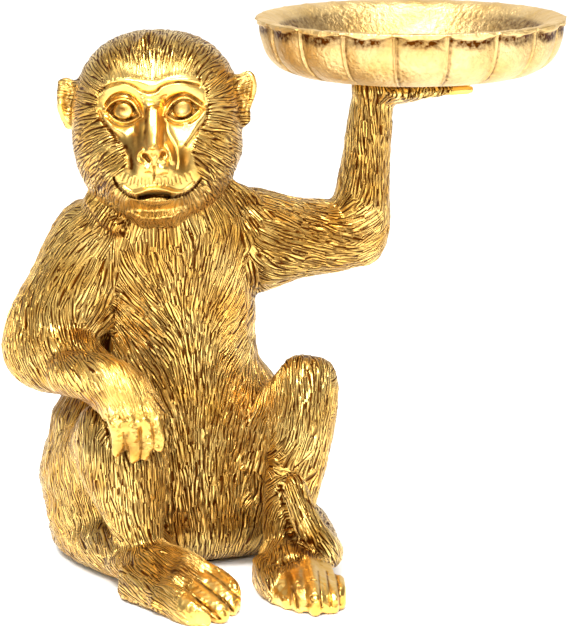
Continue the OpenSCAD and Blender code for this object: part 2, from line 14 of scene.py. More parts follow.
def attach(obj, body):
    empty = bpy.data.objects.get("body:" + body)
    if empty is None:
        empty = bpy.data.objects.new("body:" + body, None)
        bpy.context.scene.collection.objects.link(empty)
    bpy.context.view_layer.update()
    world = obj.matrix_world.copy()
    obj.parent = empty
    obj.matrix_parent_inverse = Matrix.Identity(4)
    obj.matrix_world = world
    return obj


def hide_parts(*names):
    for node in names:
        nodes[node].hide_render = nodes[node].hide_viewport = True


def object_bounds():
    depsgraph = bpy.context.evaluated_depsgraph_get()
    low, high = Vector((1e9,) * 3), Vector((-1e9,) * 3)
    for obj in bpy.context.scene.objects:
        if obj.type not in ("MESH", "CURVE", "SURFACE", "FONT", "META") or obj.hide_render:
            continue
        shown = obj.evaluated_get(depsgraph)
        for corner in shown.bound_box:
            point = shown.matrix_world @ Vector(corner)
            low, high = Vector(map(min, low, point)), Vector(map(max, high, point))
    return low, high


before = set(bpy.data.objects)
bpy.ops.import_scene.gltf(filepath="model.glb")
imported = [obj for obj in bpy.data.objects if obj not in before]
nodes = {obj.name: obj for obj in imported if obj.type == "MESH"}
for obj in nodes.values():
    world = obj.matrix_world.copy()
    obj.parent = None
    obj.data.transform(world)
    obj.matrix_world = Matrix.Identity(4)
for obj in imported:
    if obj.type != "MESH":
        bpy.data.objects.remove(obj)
cad_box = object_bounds()
MM = 0.001
rng = np.random.default_rng(11)
CASTINGS = ["trunk", "head", "raised_arm", "resting_arm", "right_leg", "left_leg", "tail"]

# CAMERA, in mm: the photograph's viewpoint, looking along +Y and a little down
EYE = np.array([20.0, -728.0, 188.6])
PITCH = math.radians(11)
FOCAL_PX = 3831.0
CENTRE_PX = np.array([284.5, 313.0])
FORWARD = np.array([0, math.cos(PITCH), -math.sin(PITCH)])
UPWARD = np.array([0, math.sin(PITCH), math.cos(PITCH)])
TOWARDS_EYE = -FORWARD
SENSOR_MM = 36.0
FRAME_TALL_PX = 626.0
MM_A_PX = 0.187  # what one px covers at the figure


def to_px(points):
    """Where points in mm fall in the photograph's frame."""
    offset = np.atleast_2d(points) - EYE
    depth = offset @ FORWARD
    return np.stack([CENTRE_PX[0] + FOCAL_PX * offset[:, 0] / depth,
                     CENTRE_PX[1] - FOCAL_PX * (offset @ UPWARD) / depth], axis=1)


def sight(x, y):
    """The direction from the eye through a place in the frame."""
    across = np.array([1.0, 0, 0]) * (x - CENTRE_PX[0]) / FOCAL_PX
    way = FORWARD + across + UPWARD * (CENTRE_PX[1] - y) / FOCAL_PX
    return way / np.linalg.norm(way)


def make_camera():
    data = bpy.data.cameras.new("camera")
    data.sensor_width = SENSOR_MM
    data.lens = FOCAL_PX * SENSOR_MM / FRAME_TALL_PX
    data.clip_start = 0.05
    camera = bpy.data.objects.new("camera", data)
    camera.location = Vector(EYE * MM)
    camera.rotation_euler = (math.pi / 2 - PITCH, 0, 0)
    bpy.context.scene.collection.objects.link(camera)
    bpy.context.scene.camera = camera


# MESH HELPERS
def mesh_from(name, points, faces):
    mesh = bpy.data.meshes.new(name)
    mesh.from_pydata([tuple(p) for p in points], [], faces)
    mesh.update()
    return mesh


def add_object(name, mesh):
    piece = bpy.data.objects.new(name, mesh)
    bpy.context.scene.collection.objects.link(piece)
    return piece


def evaluated(name, mesh, *modifiers):
    """The mesh after modifiers, each given as (type, settings)."""
    scratch = add_object(name, mesh)
    for kind, settings in modifiers:
        modifier = scratch.modifiers.new(kind, kind)
        for key, value in settings.items():
            setattr(modifier, key, value)
    graph = bpy.context.evaluated_depsgraph_get()
    result = bpy.data.meshes.new_from_object(scratch.evaluated_get(graph))
    bpy.data.objects.remove(scratch)
    return result


def places(mesh):
    flat = np.empty(len(mesh.vertices) * 3)
    mesh.vertices.foreach_get("co", flat)
    return flat.reshape(-1, 3)


def normals(mesh):
    flat = np.empty(len(mesh.vertices) * 3)
    mesh.vertex_normals.foreach_get("vector", flat)
    return flat.reshape(-1, 3)


def set_places(mesh, points):
    mesh.vertices.foreach_set("co", np.ascontiguousarray(points, dtype=np.float32).ravel())
    mesh.update()


def unit(v):
    return v / np.maximum(np.linalg.norm(v, axis=-1, keepdims=True), 1e-9)


def smoothstep(x, low, high):
    t = np.clip((x - low) / (high - low), 0, 1)
    return t * t * (3 - 2 * t)


def curve_through(points, step=1.0):
    """A smooth line of points through the given ones."""
    p = np.asarray(points, float)
    if len(p) < 3:
        count = max(2, int(np.linalg.norm(p[-1] - p[0]) / step))
        return p[0] + (p[-1] - p[0]) * np.linspace(0, 1, count)[:, None]
    line = []
    for i in range(len(p) - 1):
        a, b, c, d = p[max(i - 1, 0)], p[i], p[i + 1], p[min(i + 2, len(p) - 1)]
        count = max(2, int(np.linalg.norm(c - b) / step))
        t = np.linspace(0, 1, count, endpoint=False)[:, None]
        line.append(0.5 * (2 * b + (c - a) * t + (2 * a - 5 * b + 4 * c - d) * t**2
                           + (3 * b - a - 3 * c + d) * t**3))
    line.append(p[-1:])
    return np.vstack(line)


# CLAY: balls laid along lines, which the remeshing fuses with the castings
def ball(centre, radius, ring=10, rows=7):
    points = [centre + [0, 0, radius]]
    for j in range(1, rows):
        rise = math.pi / 2 - math.pi * j / rows
        for k in range(ring):
            turn = 2 * math.pi * k / ring
            points.append(centre + radius * np.array(
                [math.cos(rise) * math.cos(turn), math.cos(rise) * math.sin(turn), math.sin(rise)]))
    points.append(centre - [0, 0, radius])
    last = len(points) - 1
    faces = [(0, 1 + k, 1 + (k + 1) % ring) for k in range(ring)]
    for j in range(rows - 2):
        for k in range(ring):
            a, b = 1 + j * ring + k, 1 + j * ring + (k + 1) % ring
            faces.append((a, a + ring, b + ring, b))
    base = 1 + (rows - 2) * ring
    faces += [(base + (k + 1) % ring, base + k, last) for k in range(ring)]
    return points, faces


def roll(line):
    """Balls along a line of (x, y, z, radius) in mm."""
    points, faces = [], []
    for x, y, z, r in curve_through(line, 0.5):
        more, sides = ball(np.array([x, y, z]), r)
        faces += [tuple(i + len(points) for i in f) for f in sides]
        points += more
    return points, faces


# toes and the front of each foot, in px: the share standing proud of the plain casting, and (x, y, radius)
TOES = [
    (0.3, [(188, 562, 11), (200, 567, 9.5), (211, 572, 8.6),
           (222, 578, 8.6), (231, 585, 8.2), (235, 590, 6.6)]),
    (0.3, [(182, 572, 10), (194, 579, 8), (206, 586, 7.2),
           (219, 594, 7.2), (230, 602, 6.6), (233, 605, 5.8)]),
    (0.3, [(176, 582, 10), (186, 589, 7.6), (198, 596, 7),
           (210, 604.5, 7), (219, 611, 6.4), (222, 613, 5.6)]),
    (0.3, [(166, 590, 9), (179, 598, 6.6), (190, 605, 6.2), (201, 612.5, 5.6), (208, 617, 4.8)]),
    (0.05, [(188, 568, 9), (206, 577, 8), (220, 586, 7.5), (231, 596, 6)]),
    (0.05, [(180, 580, 9), (198, 589, 8), (213, 600, 7), (225, 608, 5.5)]),
    (0.05, [(172, 590, 8), (190, 599, 7), (204, 609, 6), (214, 615, 5)]),
    (0.15, [(128, 574, 11), (144, 584, 11), (158, 593, 9.5),
            (172, 602, 8), (188, 609.5, 6.6), (203, 616, 5.4)]),
    (0.2, [(260, 562, 9), (266, 574, 9), (273, 586, 8.5), (281, 596, 7.5), (288, 602, 6)]),
    (0.3, [(272, 570, 9), (279, 582, 9), (284, 592, 9), (288, 600, 7.5)]),
    (0.0, [(294, 572, 12), (298, 584, 10), (300, 594, 8)]),
    (0.45, [(306, 558, 9), (309.5, 568, 7.8), (312.5, 580, 7.2), (314, 592, 7.2), (315.5, 600, 6.4)]),
    (0.35, [(318, 562, 6), (321, 571, 5.2), (325, 584, 5.2), (326.6, 596, 5), (327.5, 604, 4.6)]),
    (0.35, [(328, 566, 5), (331, 574, 4.6), (333.6, 584, 4.6), (335, 595, 4.6), (335.5, 602, 4.2)]),
    (0.35, [(337, 572, 5.5), (340, 579, 5.2), (342, 588, 5), (341.5, 596, 4.6)]),
]
# fingers and back of the resting hand, and last the edge of the palm under the dish
FINGERS = [
    (0.55, [(108, 405, 8.5), (112, 416, 7.6), (115.5, 428, 6.8),
            (117, 440, 6.2), (117, 449, 6), (116.6, 453, 5.6)]),
    (0.6, [(124, 408, 7), (129, 420, 6.4), (133.5, 434, 5.7), (134, 448, 5.7), (133.4, 460, 5.6)]),
    (0.6, [(138, 408, 6.4), (143, 420, 5.6), (147, 435, 5), (147.3, 446, 5), (146, 457.5, 4.9)]),
    (0.6, [(149, 404, 6), (155, 416, 5.6), (159.6, 430, 5.2), (160.6, 440, 5), (160, 449, 5)]),
    (0.15, [(118, 412, 7), (122, 426, 5.4), (124.5, 438, 4.2), (125, 450, 3.6)]),
    (0.15, [(132, 412, 7), (138, 424, 5.4), (140.6, 438, 4), (140.8, 450, 3.4)]),
    (0.15, [(146, 410, 7), (151.5, 424, 5), (153.4, 436, 4), (153.6, 446, 3.4)]),
    (0.25, [(84, 390, 10), (97, 401, 8.5), (107, 414, 8)]),
    (0.3, [(66, 374, 22), (88, 376, 25), (110, 382, 25), (126, 392, 20), (134, 402, 15)]),
    (0.35, [(392, 93, 6), (410, 93, 7), (430, 92, 6.8), (448, 91, 6), (462, 90, 5.6), (471, 89.5, 5)]),
]
# hair that stands above the plain castings: the ruff at the neck, and the tuft on the crown
RUFFS = [
    (0.4, [(232, 188, 9), (243, 194, 10), (253, 199, 9)]),
    (0.3, [(143, 42, 6), (147, 37, 5.5), (149.6, 34, 4.6), (150.4, 32, 3.4)]),
    (0.4, [(92, 200, 9), (104, 214, 10), (118, 226, 10)]),
]

STEP_BACK = 4.0  # a roll goes no further back than this between two places, in mm
SOLE_DROPS = (0.8, 1.6, 2.4, 3.6)  # more rolls below each toe, down to the table, in mm
ABOVE_TABLE = 0.9  # how high such a roll's middle stays, as a share of its radius


def laid_on(tree, x, y, r):
    """The nearest distance from the eye to the castings about a place in the frame."""
    far = []
    for dx, dy in ((0, 0), (r / 2, 0), (-r / 2, 0), (0, r / 2), (0, -r / 2)):
        hit = tree.ray_cast(Vector(EYE), Vector(sight(x + dx, y + dy)))
        if hit[0] is not None:
            far.append(hit[3])
    return min(far) if far else None


def clay(tree):
    """What the sculptor adds to the plain castings, as rolls of (x, y, z, radius) in mm."""
    rolls = []
    for proud, line in TOES + FINGERS + RUFFS:
        laid, last = [], None
        for x, y, px_radius in line:
            far = laid_on(tree, x, y, px_radius)
            if far is None or (last is not None and far > last + STEP_BACK):
                far = last
            if far is not None:
                last = far
                radius = px_radius * MM_A_PX
                laid.append((*(EYE + sight(x, y) * (far + radius * (1 - 2 * proud))), radius))
        if len(laid) < 2:
            continue
        rolls.append(laid)
        if (proud, line) in TOES:
            for drop in SOLE_DROPS:
                rolls.append([(x, y, max(z - drop, min(z, r * ABOVE_TABLE)), r) for x, y, z, r in laid])
    return rolls


# where a casting's plain fingers or toes are drawn back before clay ones are laid: a place in mm and a way
DRAWN_BACK = {
    "resting_arm": ((-8.0, -32.0, 34.5), (0.05, -0.1, -1.0)),
    "right_leg": ((3.0, -38.0, 4.0), (0.85, -0.53, 0.0)),
    "left_leg": ((22.8, -34.0, 4.0), (0.15, -0.99, 0.0)),
}
DRAWN_SHARE = 0.97


def drawn_back(name, spots):
    """The casting's points, with those past its place in DRAWN_BACK pulled back to it."""
    if name not in DRAWN_BACK:
        return spots
    stop, way = (np.array(v) for v in DRAWN_BACK[name])
    way = way / np.linalg.norm(way)
    beyond = np.maximum((spots - stop) @ way, 0)
    return spots - way * (beyond * DRAWN_SHARE)[:, None]


def joined_castings():
    """The castings and the clay in one mesh, a tree of the plain castings, and each face's casting."""
    plain, points, faces, casting = [], [], [], []
    for index, name in enumerate(CASTINGS):
        mesh = nodes[name].data
        start = len(points)
        spots = places(mesh) / MM
        plain += list(spots)
        points += list(drawn_back(name, spots))
        faces += [tuple(start + i for i in p.vertices) for p in mesh.polygons]
        casting += [index] * len(mesh.polygons)
    tree = BVHTree.FromPolygons([tuple(p) for p in plain], faces)
    for line in clay(tree):
        more, sides = roll(line)
        faces += [tuple(len(points) + i for i in f) for f in sides]
        points += more
    return mesh_from("castings", points, faces), tree, np.array(casting)


def largest_island(mesh):
    """The mesh without loose scraps."""
    count = len(mesh.vertices)
    pairs = np.empty(len(mesh.edges) * 2, dtype=np.int64)
    mesh.edges.foreach_get("vertices", pairs)
    pairs = pairs.reshape(-1, 2)
    label = np.arange(count)
    while True:
        low = np.minimum(label[pairs[:, 0]], label[pairs[:, 1]])
        new = label.copy()
        np.minimum.at(new, pairs[:, 0], low)
        np.minimum.at(new, pairs[:, 1], low)
        new = new[new]
        new = new[new]
        if np.array_equal(new, label):
            break
        label = new
    names, sizes = np.unique(label, return_counts=True)
    if len(names) == 1:
        return mesh
    keep = names[np.argmax(sizes)]
    work = bmesh.new()
    work.from_mesh(mesh)
    work.verts.ensure_lookup_table()
    bmesh.ops.delete(work, geom=[work.verts[i] for i in np.flatnonzero(label != keep)], context="VERTS")
    work.to_mesh(mesh)
    work.free()
    return mesh


# FLOW: which way the hair lies, as strokes in the frame and as bones elsewhere
STROKES = [
    # crown and brow
    [(128, 80), (124, 60), (118, 42)], [(150, 86), (150, 60), (150, 34)], [(172, 80), (178, 60), (186, 44)],
    [(108, 84), (98, 68), (90, 58)], [(196, 82), (208, 66), (216, 58)], [(96, 92), (84, 84)],
    [(208, 96), (226, 90), (234, 86)],
    # cheeks and chin
    [(94, 112), (80, 116)], [(100, 132), (88, 138), (76, 146)], [(108, 152), (92, 164), (80, 176)],
    [(112, 178), (100, 194), (92, 206)], [(126, 204), (116, 218)], [(146, 212), (142, 226)],
    [(166, 212), (168, 226)], [(186, 206), (196, 220)], [(204, 186), (216, 200), (224, 208)],
    [(202, 160), (220, 172), (236, 184)], [(206, 134), (226, 142), (242, 150)], [(210, 114), (230, 118)],
    # shoulders and chest
    [(112, 232), (84, 234), (58, 252)], [(150, 238), (158, 262), (168, 290)],
    [(100, 240), (118, 268), (150, 300)], [(120, 300), (148, 326), (180, 350)],
    [(232, 206), (222, 240), (206, 280)], [(250, 240), (236, 280), (212, 320)],
    [(256, 300), (244, 330), (214, 356)], [(190, 236), (192, 270), (192, 310)],
    [(192, 330), (194, 370), (196, 410)], [(130, 340), (150, 366), (172, 400)],
    [(250, 350), (236, 380), (222, 420)], [(170, 400), (182, 450), (192, 500)],
    [(222, 400), (214, 450), (206, 500)], [(200, 480), (204, 520), (206, 545)],
    # raised arm
    [(240, 196), (270, 208), (300, 222)], [(300, 210), (330, 226), (366, 236)],
    [(262, 250), (300, 252), (340, 258)], [(262, 226), (300, 238), (350, 250)],
    [(376, 240), (374, 210), (372, 180)], [(350, 200), (354, 170), (358, 130)],
    [(380, 190), (378, 150), (374, 110)],
    # resting arm
    [(84, 232), (56, 262), (38, 300)], [(100, 252), (76, 280), (54, 320)], [(30, 290), (18, 316), (16, 340)],
    [(110, 300), (96, 322), (80, 334)], [(36, 312), (46, 326), (66, 332)], [(14, 346), (18, 362), (30, 380)],
    [(28, 344), (34, 364), (48, 388)], [(44, 345), (54, 368), (70, 396)], [(60, 346), (74, 370), (90, 400)],
    [(78, 346), (94, 368), (108, 398)], [(96, 350), (112, 370), (126, 400)],
    [(114, 358), (130, 382), (142, 408)],
    # right leg
    [(56, 410), (50, 450), (50, 500)], [(86, 420), (84, 460), (86, 510)],
    [(112, 440), (112, 480), (118, 530)], [(146, 466), (150, 500), (156, 540)],
    [(52, 500), (60, 530), (80, 556)], [(100, 530), (112, 556), (140, 580)],
    [(140, 584), (164, 600), (190, 614)], [(150, 560), (170, 572), (190, 586)],
    [(160, 550), (184, 562), (204, 574)],
    # left leg
    [(280, 364), (270, 400), (262, 440)], [(310, 356), (312, 400), (308, 440)],
    [(328, 370), (328, 410), (322, 450)], [(262, 420), (250, 460), (246, 500)],
    [(294, 430), (282, 456), (268, 482), (258, 508)], [(310, 436), (309, 466)],
    [(322, 440), (318, 470), (308, 495)], [(272, 496), (262, 520), (256, 540)],
    [(262, 536), (261, 558), (268, 584)], [(276, 530), (273, 554), (277, 578)],
    [(286, 540), (288, 556), (296, 572)],
    # tail
    [(334, 542), (318, 518), (302, 486)], [(322, 552), (300, 528), (288, 488)],
    [(304, 490), (298, 475), (291, 463)], [(289, 492), (285, 478), (281, 466)],
    [(296, 490), (291, 476), (286, 464)],
]
BONES = {
    "trunk": [((-3, -13, 74), (0, 4, 0))],
    "head": [],
    "raised_arm": [((11, -4, 62), (34, 1, 62)), ((34, 1, 62), (37, -3, 90))],
    "resting_arm": [((-12, -9, 62), (-26, -12, 43)), ((-26, -12, 43), (-9, -31, 39)),
                    ((-9, -31, 39), (-6, -33, 24))],
    "right_leg": [((-12, 2, 14), (-12, -20, 28)), ((-12, -20, 32), (-8, -26, 6))],
    "left_leg": [((13, 0, 14), (24, -14, 38)), ((24, -16, 40), (20, -22, 6))],
    "tail": [((5, 18, 8), (27, 8, 8)), ((27, 8, 8), (28, -24, 8)), ((28, -27, 8), (22, -27, 20))],
}
FACE_MIDDLE = np.array([-4.0, -28.0, 88.0])  # the head's hair lies away from here
HEAD_HAIR_FALL = [0, 0, -0.25]
GUIDE_STEP_PX = 8.0
GUIDE_LEAP = 6.0  # a stroke is cut where it jumps further than this, in mm
STROKE_REACH = 3.2  # in mm
BONE_WEIGHT = 0.12
OTHER_CASTING_WEIGHT = 0.1
BATCH = 4000  # points worked on at once


def stroke_guides(tree):
    """Points on the skin, the way the hair lies there, and the casting that each is on."""
    spots, ways, owners = [], [], []
    for stroke in STROKES:
        line = curve_through(stroke, GUIDE_STEP_PX)
        hits = []
        for x, y in line:
            hit = tree.ray_cast(Vector(EYE), Vector(sight(x, y)))[0]
            if hit is not None:
                hits.append(np.array(hit))
        for a, b in zip(hits, hits[1:]):
            if np.linalg.norm(b - a) < GUIDE_LEAP:
                spots.append((a + b) / 2)
                ways.append((b - a) / np.linalg.norm(b - a))
                owners.append(casting_of_face[casting_tree.find_nearest(Vector(spots[-1]))[2]])
    return np.array(spots), np.array(ways), np.array(owners)


def hair_way(points, out, casting, spots, ways, owners):
    """The unit direction of the hair at each point, along the skin."""
    flow = np.zeros_like(points)
    for index, name in enumerate(CASTINGS):
        mine = np.flatnonzero(casting == index)
        p = points[mine]
        if name == "head":
            flow[mine] = unit(p - FACE_MIDDLE) + HEAD_HAIR_FALL
            continue
        total = np.zeros_like(p)
        for a, b in BONES[name]:
            a, b = np.array(a, float), np.array(b, float)
            share = np.clip(((p - a) @ (b - a)) / ((b - a) @ (b - a)), 0, 1)
            far = np.linalg.norm(p - (a + share[:, None] * (b - a)), axis=1)
            total += unit(b - a) * (1.0 / (far**4 + 1))[:, None]
        flow[mine] = unit(total)
    flow = unit(flow - out * np.sum(flow * out, axis=1)[:, None]) * BONE_WEIGHT
    for start in range(0, len(points), BATCH):
        part = slice(start, start + BATCH)
        gap = points[part, None, :] - spots[None, :, :]
        near = np.exp(-np.sum(gap * gap, axis=2) / (2 * STROKE_REACH**2))
        near *= np.maximum(out[part] @ -FORWARD + 0.35, 0.0)[:, None]
        near *= np.where(casting[part, None] == owners[None, :], 1.0, OTHER_CASTING_WEIGHT)
        flow[part] += near @ ways
    return unit(flow - out * np.sum(flow * out, axis=1)[:, None])


def inside(polygon, px):
    """Which of the places in the frame lie in a polygon."""
    result = np.zeros(len(px), dtype=bool)
    for (ax, ay), (bx, by) in zip(polygon, polygon[1:] + polygon[:1]):
        crosses = (ay > px[:, 1]) != (by > px[:, 1])
        with np.errstate(divide="ignore", invalid="ignore"):
            side = px[:, 0] < (bx - ax) * (px[:, 1] - ay) / (by - ay) + ax
        result ^= crosses & side
    return result


def depth_in(outline, px):
    """How far inside an outline each place in the frame is, and below nought outside it."""
    return near_line(px, outline + outline[:1])[0] * np.where(inside(outline, px), 1, -1)


def near_line(px, line):
    """How far each place in the frame is from a line of places, and how far along the nearest one is."""
    far = np.full(len(px), 1e9)
    along = np.zeros(len(px))
    run = 0.0
    for a, b in zip(line, line[1:]):
        a, b = np.array(a, float), np.array(b, float)
        length = np.linalg.norm(b - a)
        if length < 1e-6:
            continue
        share = np.clip(((px - a) @ (b - a)) / length**2, 0, 1)
        gap = np.linalg.norm(px - (a + share[:, None] * (b - a)), axis=1)
        nearer = gap < far
        far[nearer] = gap[nearer]
        along[nearer] = run + share[nearer] * length
        run += length
    return far, along / max(run, 1e-6)


# BARE SKIN in the frame: (casting, share without hair, softness of the edge in px, outline)
BARE = [
    ("head", 1.0, 2.5, [(97, 97), (106, 86), (116, 77), (134, 76), (152, 78), (168, 75), (184, 72),
                        (197, 76), (206, 90), (208, 106), (206, 120), (196, 136), (192, 150), (196, 166),
                        (202, 178), (190, 191), (172, 197), (140, 197), (124, 190), (114, 178), (126, 168),
                        (126, 152), (116, 138), (104, 124), (96, 110)]),
    ("head", 0.6, 6.0, [(126, 194), (184, 194), (186, 206), (176, 218), (158, 222), (140, 218), (128, 208)]),
    ("head", 0.45, 6.0, [(114, 182), (126, 194), (184, 194), (202, 184), (206, 200), (188, 216),
                         (160, 226), (132, 218), (112, 202)]),
    ("head", 0.78, 9.0, [(118, 62), (186, 60), (200, 82), (104, 84)]),
    ("resting_arm", 1.0, 3.0, [(102, 424), (110, 416), (124, 419), (140, 416), (154, 412), (168, 420),
                               (170, 475), (100, 475)]),
    ("head", 0.5, 3.0, [(58, 78), (72, 78), (76, 92), (74, 128), (66, 124), (58, 104)]),
    ("head", 0.5, 3.0, [(240, 72), (254, 72), (256, 92), (250, 112), (242, 112)]),
    ("resting_arm", 0.7, 8.0, [(96, 364), (122, 360), (142, 386), (158, 412),
                               (168, 440), (100, 440), (104, 396)]),
    ("right_leg", 1.0, 3.0, [(200, 560), (216, 556), (256, 580), (256, 626), (190, 626), (176, 606),
                             (178, 596), (186, 588), (196, 576)]),
    ("right_leg", 0.4, 8.0, [(170, 545), (210, 548), (256, 580), (256, 626), (170, 626), (160, 590)]),
    ("left_leg", 1.0, 3.0, [(278, 574), (296, 566), (306, 556), (322, 560), (352, 572), (352, 622),
                            (276, 622), (272, 590)]),
    ("raised_arm", 1.0, 3.0, [(452, 84), (480, 84), (480, 104), (452, 104)]),
]
MASK = [(92, 96), (106, 82), (152, 80), (198, 78), (212, 92), (210, 120), (196, 150), (196, 172),
        (172, 186), (134, 186), (122, 172), (116, 142), (96, 120)]
# planes of the face: outline in the frame, softness in px, and the slopes to the right and down, where
# None keeps the casting's own
FACETS = [
    ([(148.2, 109), (158.6, 109), (158.8, 147), (147.8, 147)], 1.6, (0.0, None)),
    ([(103, 117), (112, 125), (124, 128.5), (137, 123), (137, 134), (126, 139), (114, 131)],
     4.0, (0.16, 0.34)),
    ([(169, 126), (183, 125), (196, 119), (204, 113), (198, 127), (190, 139), (178, 145), (172, 135)],
     4.0, (-0.18, 0.27)),
    ([(142, 164), (150, 162), (151.4, 172), (144, 173)], 2.0, (0.14, 0.33)),
    ([(158, 162), (169, 160), (169, 173), (158, 174)], 2.0, (-0.17, 0.26)),
    ([(132, 203), (182, 203), (188, 213), (174, 224), (142, 224), (126, 213)], 8.0, (0.0, 0.26)),
]
EAR_RIMS = [[(60, 104), (62, 114), (66, 121), (71, 128)], [(250, 74), (254.6, 80), (252.6, 94)]]
# where the castings are drawn sideways: place and half-sizes in the frame, and the way along X and Z in mm
PULLS = [
    ((75, 76), (7, 5), (0.0, -0.9)),
    ((59, 117), (5, 6), (0.5, -0.3)),
    ((67, 124), (6, 6), (0.0, -1.1)),
    ((249, 80), (10, 9), (0.0, 1.6)),
    ((257, 111), (7, 14), (-1.35, 0.0)),
    ((241, 151), (6, 10), (0.35, 0.0)),
]
# outlines in the frame where the skin is finer: the face, the hand and the two feet
CLOSE = [
    [(88, 70), (214, 70), (216, 215), (190, 232), (130, 232), (88, 210)],
    [(104, 412), (168, 412), (168, 470), (104, 470)],
    [(170, 552), (246, 552), (246, 626), (170, 626)],
    [(268, 564), (352, 564), (352, 622), (268, 622)],
]
# outlines in the frame of clay that is smoothed over
SMOOTHED = [
    [(124, 560), (168, 560), (176, 584), (196, 606), (196, 624), (140, 620), (120, 590)],
    [(252, 560), (276, 556), (286, 580), (292, 612), (262, 606)],
    [(90, 396), (112, 396), (116, 420), (96, 420)],
]


def bare_share(px, facing, casting):
    """One where the skin is bare of hair."""
    bare = np.zeros(len(px))
    for name, most, soft, outline in BARE:
        mine = np.flatnonzero((casting == CASTINGS.index(name)) & (facing > 0.0))
        spots = px[mine]
        edge = depth_in(outline, spots)
        bare[mine] = np.maximum(bare[mine], most * smoothstep(edge, -soft, soft))
    head = np.flatnonzero((casting == CASTINGS.index("head")) & (facing > 0.0))
    for rim in EAR_RIMS:
        bare[head] = np.maximum(bare[head], 1 - smoothstep(near_line(px[head], rim)[0], 2.0, 4.0))
    return bare


def faceted(points, px, share_allowed):
    """Points drawn on to the planes of the face."""
    for outline, soft, lean in FACETS:
        edge = depth_in(outline, px)
        share = smoothstep(edge, -soft * 0.6, soft) * share_allowed
        core = share > 0.8
        near = points @ TOWARDS_EYE
        across = np.column_stack([px[core], np.ones(core.sum())])
        slopes = np.linalg.lstsq(across, near[core], rcond=None)[0][:2]
        slopes = np.array([s if given is None else given * MM_A_PX for s, given in zip(slopes, lean)])
        plane = px @ slopes
        plane += np.mean(near[core] - plane[core])
        points = points + TOWARDS_EYE * ((plane - near) * share)[:, None]
    return points


